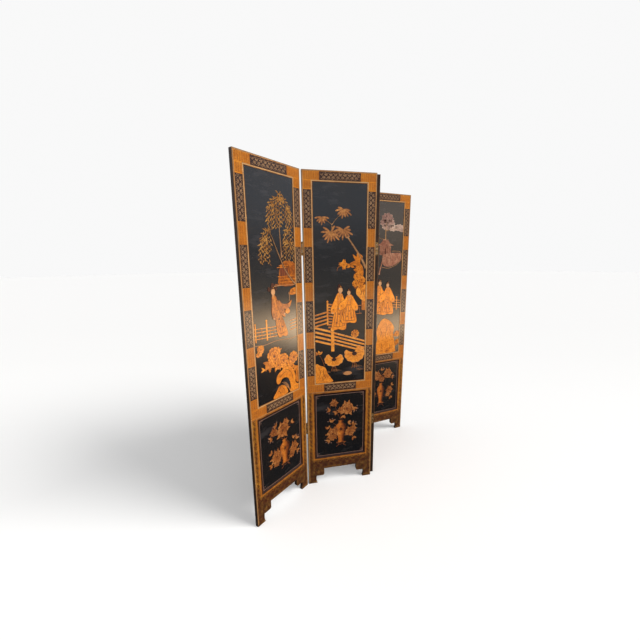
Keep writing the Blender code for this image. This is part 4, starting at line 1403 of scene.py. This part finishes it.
def fences_2(d):
    post(d, 0.129, 1.02, 1.15, 0.0095)
    rails(d, (0.133, 1.14), (0.176, 1.134), 9, 0.0165, 0.008, 0.55)
    rails(d, (0.0565, 1.078), (0.134, 1.098), 4, 0.021, 0.0085, 0.65)
    for x in (0.262, 0.29, 0.318):
        stroke(d, [(x, 1.118), (x, 1.078)], 0.0034, 0.0007, 0.5)
    rails(d, (0.235, 1.122), (0.33, 1.128), 2, 0.046, 0.0034, 0.5)


def front_fence_2(d):
    rails(d, (0.0565, 1.008), (0.158, 0.978), 4, 0.025, 0.0115, 0.85)
    rails(d, (0.158, 0.976), (0.3535, 0.914), 4, 0.0205, 0.01, 0.80)
    post(d, 0.158, 0.864, 0.984, 0.019, 0.85)


def pond_2(d):
    lotus(d, 0.165, 0.814, 0.112, 0.082, -4)
    lotus(d, 0.29, 0.842, 0.122, 0.108, 22)
    for x, z, foot in ((0.165, 0.785, 0.742), (0.29, 0.8, 0.752)):
        for k in (-1, 0, 1):
            brush(d, [(x + 0.006 * k, z), (x + 0.01 * k, (z + foot) / 2), (x + 0.016 * k, foot)], 0.0026,
                  0.0006, 0.55)
    brush(d, mm(80, 845, 96, 812, 109, 776), 0.0022, 0.0006, 0.6)
    blades(d, 0.08, 0.848, 0.026, (60, 90, 120), 0.012, 0.85)
    blades(d, 0.072, 0.852, 0.022, (150, 185, 35), 0.01, 0.6)
    ripples(d, mm(180, 742, 66, 240, 722, 54, 308, 760, 62, 325, 738, 48, 130, 735, 30, each=3))
    patch(d, smooth(mm(222, 720, 236, 733, 262, 733, 276, 722, 262, 712, 238, 711), True, 3), 0.0006, 0.5, 0.1,
          PALE)


def bank_2(d):
    rock(d, mm(56.5, 676, 152, 676, 146, 700, 126, 728, 112, 766, 82, 780, 56.5, 786),
         (mm(75, 765, 83, 735, 70, 700), mm(100, 755, 104, 725, 120, 695), mm(88, 712, 98, 700, 94, 685)), 0.72)
    blades(d, 0.1, 0.708, 0.026, (30, 75, 120, 165), 0.01, 0.9)


for name, pen, pots in (("palm_trunks", palm_trunks, TRUNK_PAINTS), ("palms", palms, PALM_PAINTS),
                        ("palm_foot", palm_foot, PAINTS), ("fences", fences_2, PAINTS),
                        ("couple", couple, PAINTS), ("front_fence", front_fence_2, PAINTS),
                        ("lotus_pond", pond_2, PAINTS), ("bank", bank_2, PAINTS)):
    draw(2, name, pen, pots, UPPER_RECESS)
set_flowers(2, "garden_flowers", mm(222.5, 1359, 17, 300, 1290, 20, 328, 1272, 22, 292, 1252, 19, 322, 1238, 17,
                                    293, 962, 24, 342, 1212, 13, 308, 1330, 16, each=3), UPPER_RECESS, seed=2)

# %% Panel 1: willow, a house on rocks, a lady with a fan and peonies


def willow_tree(d):
    trunk(d, mm(247, 1660, 256, 1600, 251, 1532, 254, 1470, 259, 1395), 0.004, 0.011, 0.6)
    trunk(d, mm(252, 1560, 285, 1580, 310, 1575), 0.004, 0.002, 0.6)


def leaning_trunk(d):
    path = mm(176, 1520, 198, 1490, 222, 1440, 245, 1396, 273, 1345, 310, 1300, 350, 1262)
    score(d, smooth(path), lambda t: 0.006 + 0.009 * t, 0.0004, 0.2, base=0.0011)
    trunk(d, path, 0.004, 0.009, 0.85, 0.0014)


FRONDS = (   # root, left end, right end, lowest point and how many strands
    ((0.262, 1.69), 0.236, 0.29, 1.65, 4), ((0.258, 1.664), 0.166, 0.34, 1.556, 9),
    ((0.226, 1.636), 0.172, 0.262, 1.532, 5), ((0.3, 1.63), 0.29, 0.35, 1.52, 4),
    ((0.19, 1.518), 0.122, 0.192, 1.42, 5), ((0.165, 1.474), 0.106, 0.18, 1.366, 5),
    ((0.31, 1.53), 0.272, 0.35, 1.43, 4), ((0.305, 1.47), 0.266, 0.346, 1.378, 5))


def willow_strands():
    """Strands that rise a little from a root, arch over and hang."""
    luck, strands = random.Random(11), []
    for (x, z), left, right, low, count in FRONDS:
        for k in range(count):
            end = left + (right - left) * (k + 0.5) / count + luck.uniform(-0.003, 0.003)
            out, fall = end - x, (z - low) * luck.uniform(0.72, 1.05)
            strands.append(smooth([(x, z), (x + 0.45 * out, z + 0.004), (x + 0.80 * out, z - 0.18 * fall),
                                   (x + 0.97 * out, z - 0.55 * fall), (end, z - fall)]))
    return strands


def rock_house(d):
    rock(d, mm(236, 1262, 353.5, 1262, 353.5, 1352, 338, 1372, 300, 1380, 266, 1374, 244, 1352, 236, 1310),
         (mm(262, 1300, 272, 1285, 290, 1282), mm(300, 1360, 310, 1330, 302, 1300),
          mm(330, 1350, 338, 1320, 328, 1290), mm(285, 1368, 291, 1350, 283, 1330),
          mm(262, 1360, 268, 1350, 262, 1340)), 0.35)
    patch(d, rectangle(0.24, 0.3, 1.305, 1.346), 0.0004, 0.9, 0.4, DARK, 0.0008)
    for z, left, right in mm(1348, 222, 284, 1357, 236, 300, 1304, 226, 345, 1289, 234, 352, 1274, 240, 352,
                             each=3):
        stroke(d, [(left, z), ((left + right) / 2, z + 0.002), (right, z)], 0.0046, 0.0006, 0.8, 0.3,
               base=0.0008)
    for x in (0.243, 0.257, 0.271, 0.285, 0.299):
        stroke(d, [(x, 1.306), (x, 1.346)], 0.0026, 0.0004, 0.6, base=0.001)
    stroke(d, mm(198, 1259, 230, 1261, 345, 1259), 0.0046, 0.0008, 0.75, finish=PALE, base=0.0006)
    stroke(d, mm(204, 1266, 240, 1268), 0.005, 0.0006, 0.6)
    rock(d, mm(308, 1210, 353.5, 1212, 353.5, 1242, 330, 1240, 312, 1232),
         (mm(325, 1232, 338, 1222, 350, 1226),), 0.6)


def lady(d):
    person(d, 0.246, 1.0, 0.256, 0.58, 1, -0.26, fan=True, sleeve_tone=0.42)
    patch(d, smooth(mm(222, 1190, 250, 1168, 290, 1166, 316, 1182, 304, 1150, 276, 1138, 238, 1152), True, 3),
          0.0007, 0.48, 0.1, ROBE, 0.0014)
    score(d, smooth(mm(232, 1176, 264, 1158, 300, 1160)), 0.0014, 0.0003, 0.1, base=0.0021)
    brush(d, mm(300, 1176, 304, 1200, 298, 1222), 0.003, 0.0005, 0.9, finish=PALE, base=0.001)
    for hx, hz, r in ((0.166, 1.246, 0.013), (0.206, 1.248, 0.012), (0.188, 1.266, 0.011)):
        patch(d, oval(hx, hz, r, 0.8 * r, 12), 0.0006, 0.35, 0.0, DARK, 0.0008)
        blades(d, hx, hz, 0.9 * r, (30, 100, 170, 240, 310), 0.5 * r, 0.9)


def fences_1(d):
    rails(d, (0.0565, 1.066), (0.205, 1.058), 4, 0.0165, 0.004, 0.85)
    post(d, 0.1357, 0.998, 1.092, 0.0085, 0.9)
    post(d, 0.064, 1.0, 1.084, 0.007, 0.85)
    for x in (0.085, 0.104, 0.158, 0.182):
        stroke(d, [(x, 1.062), (x, 1.01)], 0.003, 0.0009, 0.7)
    rails(d, (0.3, 1.072), (0.3535, 1.078), 4, 0.0165, 0.0036, 0.8)
    brush(d, mm(58, 985, 120, 978, 200, 984, 300, 976, 352, 980), 0.0036, 0.0006, 0.7, finish=PALE)


def garden_1(d):
    blades(d, 0.142, 0.872, 0.044, (170, 200, 228, 255, 285, 140), 0.018, 0.65)
    blades(d, 0.196, 0.862, 0.046, (205, 232, 258, 284, 310), 0.018, 0.6)
    blades(d, 0.25, 0.838, 0.038, (195, 225, 255, 290, 320), 0.016, 0.6)
    blades(d, 0.298, 0.842, 0.038, (200, 240, 270, 300, 120, 90), 0.016, 0.6)
    blades(d, 0.33, 0.815, 0.034, (200, 235, 270, 305), 0.015, 0.55)
    blades(d, 0.21, 0.925, 0.026, (40, 75, 110), 0.011, 0.6)
    blades(d, 0.108, 0.854, 0.026, (158, 186, 214), 0.009, 0.9)
    blades(d, 0.118, 0.858, 0.018, (110, 250), 0.007, 0.75)
    brush(d, mm(102, 852, 125, 858, 142, 872), 0.0026, 0.0006, 0.6)
    blades(d, 0.088, 0.955, 0.03, (60, 100, 145, 250, 290), 0.013, 0.7)
    for path in (mm(173, 905, 190, 860, 240, 822), mm(238, 862, 244, 840, 256, 820),
                 mm(323, 868, 312, 838, 300, 800)):
        brush(d, path, 0.003, 0.0006, 0.5)


def arch_rock(d):
    rock(d, mm(186, 758, 190, 792, 222, 814, 266, 824, 306, 806, 326, 760, 330, 712, 353.5, 700, 353.5, 676,
               286, 676, 290, 705, 281, 744, 262, 768, 226, 770, 204, 748),
         (mm(212, 782, 236, 796, 262, 800), mm(292, 790, 306, 760, 308, 722), mm(316, 700, 330, 692, 344, 690),
          mm(246, 812, 272, 806, 296, 786), mm(322, 735, 332, 715, 348, 708)), 0.68)
    for shift in range(4):
        brush(d, [(0.222 + 0.01 * shift, 0.748 - 0.01 * shift), (0.25 + 0.008 * shift, 0.74 - 0.014 * shift),
                  (0.276 + 0.003 * shift, 0.712 - 0.012 * shift)], lambda t: 0.002 + 0.003 * sin(pi * t),
              0.0006, 0.45 + 0.15 * (shift % 2), finish=PALE)
    rock(d, mm(160, 676, 178, 706, 204, 732, 236, 728, 258, 702, 256, 676),
         (mm(190, 712, 206, 700, 212, 682), mm(222, 722, 236, 704, 232, 684)), 0.6)
    rock(d, mm(334, 724, 353.5, 720, 353.5, 800, 340, 806, 332, 770), (mm(346, 790, 342, 765, 348, 740),), 0.5)


for name, pen, pots in (("willow_trunks", willow_tree, TRUNK_PAINTS), ("rock_house", rock_house, PAINTS),
                        ("leaning_trunk", leaning_trunk, TRUNK_PAINTS), ("fences", fences_1, PAINTS),
                        ("lady", lady, LADY_PAINTS), ("garden", garden_1, PAINTS),
                        ("arch_rock", arch_rock, PAINTS)):
    draw(1, name, pen, pots, UPPER_RECESS)
set_leaves(1, "willow_leaves", willow_strands(), willow_leaf, 0.0098, 0.62, UPPER_RECESS, 3, "willow_gilt")
draw(1, "willow_twigs", lambda d: [stroke(d, path, 0.0008, 0.0003, 0.4) for path in willow_strands()],
     ["willow_gilt"], UPPER_RECESS)
set_flowers(1, "peonies", mm(176, 908, 46, 240, 868, 38, 318, 868, 34, 90, 962, 22, 146, 868, 20, 200, 852, 22,
                             286, 838, 18, 72, 938, 13, each=3), UPPER_RECESS, seed=4)

# %% Panel 4: a cloud-crowned pine, a pavilion, two people and a great rock


def pine(d):
    trunk(d, mm(206, 1640, 202, 1575, 203, 1510), 0.006, 0.014, 0.95)
    trunk(d, mm(207, 1580, 250, 1592, 300, 1598), 0.006, 0.004, 0.9)
    trunk(d, mm(200, 1520, 150, 1530, 110, 1545), 0.005, 0.003, 0.9)


def cloud(d, x, z, w, h, tone, lobes=9):
    """One mass of foliage: a lobed patch with a bright rim and fan lines, as clouds are drawn."""
    puffs = [(x + w * (1 + 0.12 * cos(lobes * a)) * cos(a), z + h * (1 + 0.14 * cos(lobes * a)) * sin(a))
             for a in [2 * pi * k / 36 for k in range(36)]]
    patch(d, puffs, 0.0006, tone, tone - 0.3)
    stroke(d, puffs + puffs[:1], 0.0022, 0.0005, tone + 0.45, base=0.0005)
    for k in range(lobes):
        a = 2 * pi * (k + 0.5) / lobes
        score(d, [(x + 0.25 * w * cos(a), z + 0.25 * h * sin(a)),
                  (x + 0.85 * w * cos(a), z + 0.85 * h * sin(a))], 0.001, 0.0003, 0.1, base=0.0006)


def pine_clouds(d):
    for x, z, w, h, tone in ((0.214, 1.664, 0.046, 0.034, 0.25), (0.19, 1.634, 0.034, 0.026, 0.35),
                             (0.24, 1.632, 0.034, 0.028, 0.40), (0.206, 1.606, 0.034, 0.018, 0.65),
                             (0.262, 1.602, 0.04, 0.022, 0.75), (0.318, 1.604, 0.036, 0.022, 0.65),
                             (0.34, 1.586, 0.013, 0.01, 0.6), (0.104, 1.556, 0.04, 0.02, 0.5)):
        cloud(d, x, z, w, h, tone)


def pavilion(d):
    roof(d, 0.203, 1.474, 0.13, 0.044, 0.5)
    house(d, 0.203, 1.416, 1.474, 0.092, 5, 0.5)
    rock(d, mm(190, 1345, 222, 1332, 262, 1336, 300, 1352, 336, 1378, 342, 1408, 326, 1428, 250, 1426, 190,
               1420, 180, 1385), (mm(210, 1400, 222, 1375, 214, 1352), mm(245, 1415, 252, 1385, 242, 1355),
                                  mm(285, 1415, 292, 1385, 280, 1362), mm(318, 1414, 312, 1396, 322, 1384)),
               0.6)
    brush(d, mm(259, 1440, 300, 1441, 334, 1435, 352.5, 1405, 345, 1380, 310, 1350, 270, 1330, 225, 1320, 180,
                1328), 0.0032, 0.0008, 0.7, finish=PALE)
    trunk(d, mm(186, 1420, 178, 1365, 162, 1310, 155, 1275), 0.01, 0.014, 0.85, 0.0012)


def couple_4(d):
    person(d, 0.152, 0.985, 0.25, 0.85, 1, 0.04)
    person(d, 0.236, 0.98, 0.238, 0.95, -1, 0.0, base=0.0021)


def fences_4(d):
    rails(d, (0.266, 1.086), (0.3535, 1.078), 4, 0.018, 0.0042, 0.8)
    post(d, 0.318, 1.01, 1.1, 0.0085, 0.85)
    for x in (0.285, 0.3, 0.338):
        stroke(d, [(x, 1.082), (x, 1.022)], 0.0028, 0.0008, 0.6)
    rails(d, (0.0565, 1.07), (0.12, 1.078), 4, 0.018, 0.0042, 0.8)
    post(d, 0.088, 1.005, 1.092, 0.0085, 0.85)


def great_rock(d):
    rock(d, mm(150, 676, 140, 730, 156, 790, 148, 850, 166, 905, 200, 944, 240, 938, 276, 912, 302, 870, 296,
               815, 312, 760, 318, 700, 310, 676),
         (mm(176, 880, 190, 840, 178, 800), mm(230, 915, 240, 870, 226, 820, 240, 780),
          mm(280, 860, 268, 820, 284, 780), mm(190, 760, 200, 720, 188, 690), mm(262, 750, 272, 715, 260, 690)),
               0.75)
    rock(d, mm(56.5, 676, 128, 676, 120, 720, 96, 752, 56.5, 760), (mm(76, 742, 88, 712, 80, 690),), 0.6)
    blades(d, 0.33, 0.8, 0.04, (60, 95, 130, 20, 165), 0.014, 0.6)
    blades(d, 0.336, 0.73, 0.036, (70, 105, 140, 180), 0.013, 0.55)
    blades(d, 0.11, 0.88, 0.04, (60, 95, 130, 165, 200), 0.015, 0.6)
    brush(d, mm(110, 880, 104, 820, 92, 756), 0.003, 0.0006, 0.5)
    ripples(d, ((0.1, 0.8, 0.05), (0.33, 0.69, 0.036)))


for name, pen, pots in (("pine", pine, TRUNK_PAINTS), ("pine_clouds", pine_clouds, CLOUD_PAINTS),
                        ("pavilion", pavilion, DULL_PAINTS), ("fences", fences_4, PAINTS),
                        ("couple", couple_4, PAINTS), ("great_rock", great_rock, PAINTS)):
    draw(4, name, pen, pots, UPPER_RECESS)
set_flowers(4, "garden_flowers", mm(112, 905, 28, 334, 820, 24, 88, 850, 20, 338, 760, 18, 200, 700, 20, 245,
                                    694, 22, 128, 958, 16, each=3), UPPER_RECESS, seed=6)

# %% Panel 3: hidden from the front, so it repeats the garden in its own way


def old_pine(d):
    trunk(d, mm(120, 1250, 150, 1330, 135, 1410, 175, 1490, 165, 1560, 200, 1630), 0.018, 0.006)
    trunk(d, mm(172, 1500, 230, 1520, 290, 1505), 0.008, 0.004)
    trunk(d, mm(138, 1420, 105, 1450, 82, 1490), 0.007, 0.004)
    for x, z, reach in mm(205, 1650, 52, 290, 1515, 48, 85, 1500, 30, 240, 1560, 44, 150, 1590, 40, each=3):
        for k in range(3):
            spray(d, x - 0.4 * reach + 0.4 * reach * k, z - 0.004 * (k % 2), 0.62 * reach, range(10, 180, 20),
                  0.0032, 0.0, 0.6)


def garden_3(d):
    rock(d, mm(56.5, 1180, 130, 1176, 150, 1210, 140, 1252, 100, 1268, 56.5, 1262),
         (mm(80, 1250, 92, 1222, 84, 1195), mm(118, 1250, 124, 1225, 116, 1200)), 0.6)
    roof(d, 0.27, 1.345, 0.13, 0.046, 0.55)
    house(d, 0.27, 1.28, 1.348, 0.096, 3, 0.5)
    rails(d, (0.0565, 1.01), (0.3535, 0.985), 4, 0.02, 0.005, 0.8)
    for x in (0.08, 0.18, 0.32):
        post(d, x, 0.93, 1.022, 0.01, 0.9)
    rock(d, mm(220, 676, 228, 730, 250, 780, 300, 806, 353.5, 800, 353.5, 676),
         (mm(262, 770, 272, 735, 260, 700), mm(310, 790, 318, 750, 306, 705)), 0.75)
    lotus(d, 0.13, 0.798, 0.11, 0.08, 8)
    blades(d, 0.27, 0.88, 0.038, (60, 100, 140, 180, 220, 20), 0.015, 0.6)
    brush(d, mm(130, 770, 124, 745, 130, 720), 0.0028, 0.0006, 0.5)
    ripples(d, ((0.11, 0.715, 0.07), (0.17, 0.735, 0.05), (0.09, 0.75, 0.04)))


def walker(d):
    person(d, 0.19, 1.04, 0.215, 0.90, 1, 0.0, fan=True)


for name, pen in (("old_pine", old_pine), ("garden", garden_3), ("walker", walker)):
    draw(3, name, pen, PAINTS, UPPER_RECESS)
set_flowers(3, "garden_flowers", mm(265, 890, 38, 322, 850, 28, 222, 840, 24, 80, 880, 26, 296, 695, 20,
                                    each=3), UPPER_RECESS, seed=8)

# %% [markdown]
# ## The lower pictures
# Each lower board has a vase on a stand with peonies above it and smaller bunches at
# its sides. One function draws all four from the places of the main flower, the neck
# and the belly, so they are sisters and not copies.

# %% Vases of flowers
POSIES = {   # panel: vase (x, foot, neck, width), big flowers, small flowers, sprigs (x, z, heading)
    1: ((0.226, 0.268, 0.412, 0.082), [(0.214, 0.47, 0.042)],
        [(0.16, 0.334, 0.036), (0.298, 0.326, 0.03), (0.158, 0.296, 0.02), (0.276, 0.29, 0.02),
         (0.146, 0.488, 0.022), (0.238, 0.506, 0.022)],
        [(0.168, 0.512, 140), (0.282, 0.484, 40), (0.132, 0.462, 220), (0.128, 0.368, 150), (0.318, 0.366, 60),
         (0.124, 0.302, 215), (0.322, 0.292, 330), (0.3, 0.38, 100)]),
    2: ((0.2085, 0.268, 0.416, 0.074), [(0.247, 0.492, 0.04)],
        [(0.154, 0.33, 0.034), (0.264, 0.332, 0.028), (0.176, 0.356, 0.018), (0.288, 0.352, 0.018),
         (0.206, 0.484, 0.018), (0.15, 0.3, 0.016), (0.164, 0.536, 0.021)],
        [(0.142, 0.492, 190), (0.18, 0.478, 230), (0.15, 0.408, 100), (0.252, 0.392, 20), (0.284, 0.376, 60),
         (0.128, 0.366, 120), (0.132, 0.292, 240), (0.284, 0.292, 320), (0.29, 0.49, 330),
         (0.222, 0.448, 280)]),
    3: ((0.203, 0.262, 0.42, 0.084), [(0.19, 0.486, 0.04), (0.25, 0.47, 0.026)],
        [(0.14, 0.33, 0.024), (0.27, 0.33, 0.024), (0.15, 0.46, 0.018)],
        [(0.15, 0.5, 130), (0.24, 0.51, 60), (0.285, 0.45, 20), (0.13, 0.3, 220), (0.284, 0.3, 320),
         (0.12, 0.36, 150)]),
    4: ((0.202, 0.262, 0.428, 0.07), [(0.164, 0.492, 0.034), (0.262, 0.5, 0.036)],
        [(0.282, 0.36, 0.026), (0.268, 0.322, 0.018), (0.13, 0.345, 0.024), (0.21, 0.46, 0.02)],
        [(0.21, 0.53, 90), (0.14, 0.53, 130), (0.3, 0.47, 350), (0.3, 0.395, 50), (0.112, 0.375, 140),
         (0.292, 0.3, 310), (0.122, 0.31, 230)]),
}


def posy(d, n):
    (x, foot, neck, width), big, small, sprigs = POSIES[n]
    for fx, fz, r in big + small:
        start = neck - 0.004 if fz > neck else foot + 0.3 * (neck - foot)
        brush(d, [(x, start), ((x + fx) / 2, (start + fz) / 2 - 0.008), (fx, fz)], 0.0024, 0.0005, 0.45)
        blades(d, fx, fz, 1.42 * r, (10, 62, 120, 170, 230, 290), 0.60 * r, 0.75)
    for sx, sz, heading in sprigs:
        fx, fz = min(((f[0], f[1]) for f in big + small), key=lambda f: hypot(f[0] - sx, f[1] - sz))
        bow = Vector(((sz - fz) * 0.25, (fx - sx) * 0.25))
        brush(d, [(fx, fz), Vector(((fx + sx) / 2, (fz + sz) / 2)) + bow, (sx, sz)], 0.002, 0.0004, 0.6)
        blades(d, sx, sz, 0.026, (heading - 38, heading, heading + 38), 0.012, 0.8)
    vase(d, x, foot, neck, width)


def pale_sprays(d, n):
    (x, foot, neck, width), big, small, sprigs = POSIES[n]
    for sx, sz, heading in sprigs[::2]:
        for turn in (-60, -20, 20, 60):
            a = radians(heading + turn)
            patch(d, leaf_shape(sx + 0.02 * cos(a), sz + 0.02 * sin(a), a, 0.011, 0.008, 0.0), 0.0005, 0.6, 0.2,
                  PALE, 0.0003)


for n in PANELS:
    (x, foot, neck, width), big, small, sprigs = POSIES[n]
    draw(n, "posy", lambda d: posy(d, n), POSY_PAINTS, LOWER_RECESS)
    draw(n, "pale_sprays", lambda d: pale_sprays(d, n), POSY_PAINTS, LOWER_RECESS)
    set_flowers(n, "posy_flowers", big + small, LOWER_RECESS, 0.0006, seed=20 + n, finish="posy_gilt")

# %% [markdown]
# ## The backs
# Screens like this are plainer behind: black lacquer with a gold line round each board
# and one spray of bamboo. The line is a bead; the bamboo is canes drawn one by one with
# leaves set by the willow tree at a wider spread.

# %% Back lines and bamboo
BACK = PANEL_THICK - BACK_RECESS


def back_lines(d):
    for left, low, high in ((0.066, 0.69, 1.76), (0.056, 0.19, 0.59)):
        mitred(d, left, PANEL_WIDTH - left, low, high, bead(0.0024, 0.0005), 0.6)
        mitred(d, left + 0.006, PANEL_WIDTH - left - 0.006, low + 0.006, high - 0.006, bead(0.0012, 0.0004),
               0.4)


def canes(n):
    """Cane paths on one back, each panel's leaning its own way."""
    lean = 0.03 * (n % 2 * 2 - 1)
    return [smooth([(x, 0.7), (x + 0.4 * lean, 0.95), (x + 1.1 * lean + bend, 1.25),
                    (x + 2.0 * lean + bend, top)])
            for x, bend, top in ((0.15 + 0.01 * n, 0.006, 1.62), (0.205 + 0.006 * n, -0.008, 1.48),
                                 (0.265 - 0.006 * n, 0.004, 1.30))]


def bamboo(d, n):
    for path in canes(n):
        stroke(d, path, lambda t: 0.007 - 0.0035 * t, 0.0007, 0.6)
        for p in path[1:-1]:
            stroke(d, [p + Vector((-0.005, 0)), p + Vector((0.005, 0))], 0.0018, 0.0009, 0.9)
    patch(d, smooth(mm(100, 700, 150, 735, 230, 742, 300, 728, 330, 700), True, 4), 0.0008, 0.45, 0.1)


def twigs(n):
    luck, out = random.Random(40 + n), []
    for path in canes(n):
        for p in path[4:]:
            side = 1 if luck.random() > 0.5 else -1
            reach = luck.uniform(0.035, 0.06)
            out.append(smooth([p, p + Vector((0.5 * side * reach, 0.012)), p + Vector((side * reach, 0.002))],
                              steps=3))
    for x in (0.15, 0.203, 0.256):
        out.append(smooth([(x, 0.24), (x + 0.01, 0.34), (x - 0.006 * n, 0.45)], steps=4))
    return out


for n in PANELS:
    draw(n, "back_lines", back_lines, ["trunk_tan"], BACK, True)
    draw(n, "back_bamboo", lambda d: bamboo(d, n), ["trunk_tan"], BACK, True)
    set_leaves(n, "back_leaves", twigs(n), bamboo_leaf, 0.0085, 0.65, BACK, 50 + n, "trunk_tan", True)

# %% [markdown]
# ## Hinge screws
# Each leaf is held by three countersunk screws with slotted heads, set into the end of
# a panel. The heads stand a few tenths of a millimetre proud. A tree sets one screw
# mesh on every point, facing out of the wood, and each panel gets its own set.

# %% Slotted screws
SCREW_RADIUS, SCREW_PROUD, SLOT = 0.0024, 0.0004, 0.0007
LEAF_FACE, LEAF_MIDDLE = 0.0021, 0.0085          # leaf's face off the end, and half its depth
HINGE_MIDDLES, SCREW_STEP = (0.392, 1.442), 0.023
HINGE_SIDES = {1: [(1, -1)], 2: [(0, -1), (1, 1)], 3: [(0, 1), (1, -1)], 4: [(0, -1)]}   # (end, front or back)


def screw_mesh():
    """A slotted head along +z: two half discs with a slot between, on a shank."""
    shape = bmesh.new()
    shape.verts.layers.float.new("tone")
    bmesh.ops.create_cone(shape, cap_ends=True, segments=16, radius1=0.0012, radius2=SCREW_RADIUS, depth=0.0016,
                          matrix=Matrix.Translation((0, 0, -0.0008)))
    for side in (-1, 1):
        ring = [(SCREW_RADIUS * cos(a), side * max(SLOT / 2, SCREW_RADIUS * sin(a))) for a in
                [pi * k / 8 for k in range(9)]]
        low = [shape.verts.new((x, y, -0.0001)) for x, y in ring]
        high = [shape.verts.new((0.92 * x, y if abs(y) <= SLOT / 2 else 0.92 * y, SCREW_PROUD)) for x,
                y in ring]
        shape.faces.new(high)
        shape.faces.new(low[::-1])
        for i in range(9):
            j = (i + 1) % 9
            shape.faces.new((low[i], low[j], high[j], high[i]))
    bmesh.ops.triangulate(shape, faces=[f for f in shape.faces if len(f.verts) > 4])
    bmesh.ops.recalc_face_normals(shape, faces=shape.faces)
    mesh = bpy.data.meshes.new("screw")
    shape.to_mesh(mesh)
    shape.free()
    return mesh


screws, sizes, SCREWS = new_tree("screws_on_points", {"Screw": "Object", "Finish": "Material", "Seed": "Int"})
facing_out = wire(screws, "GeometryNodeInputNamedAttribute", {"data_type": "FLOAT_VECTOR"},
                  Name="facing").outputs[0]
slot_turn = wire(screws, "FunctionNodeEulerToRotation",
                 i0=chance(screws, (0, 0, 0), (0, 0, 3.1), sizes["Seed"]))
turned = wire(screws, "FunctionNodeRotateRotation", {"rotation_space": "LOCAL"},
              i0=turn_to(screws, facing_out, "Z", "AUTO"), i1=slot_turn.outputs[0]).outputs[0]
set_out = set_on(screws, sizes["Geometry"], shape_of(screws, sizes["Screw"]), turned)
end_tree(screws, set_out, sizes["Finish"])
screw = bpy.data.objects.new("slotted_screw", screw_mesh())
for n in PANELS:
    points, directions = [], []
    for end, side in HINGE_SIDES[n]:
        x = PANEL_WIDTH + LEAF_FACE if end else -LEAF_FACE
        y = LEAF_MIDDLE if side < 0 else PANEL_THICK - LEAF_MIDDLE
        for z in HINGE_MIDDLES:
            points += [(x, y, z + k * SCREW_STEP) for k in (-1, 0, 1)]
            directions += [1.0 if end else -1.0, 0.0, 0.0] * 3
    mesh = bpy.data.meshes.new("screw_places")
    mesh.from_pydata(points, [], [])
    mesh.attributes.new("facing", "FLOAT_VECTOR", "POINT").data.foreach_set("vector", directions)
    made = grow(screws, SCREWS, mesh, Screw=screw, Finish=FINISH["screw_steel"], Seed=n)
    hang(n, "hinge_screws", made, ["screw_steel"])
    print("panel", n, "has", len(points), "screws")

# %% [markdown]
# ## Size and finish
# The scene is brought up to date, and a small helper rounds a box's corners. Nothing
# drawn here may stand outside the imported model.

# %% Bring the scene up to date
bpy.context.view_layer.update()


def plain(box):
    return [[round(float(v), 6) for v in corner] for corner in box]
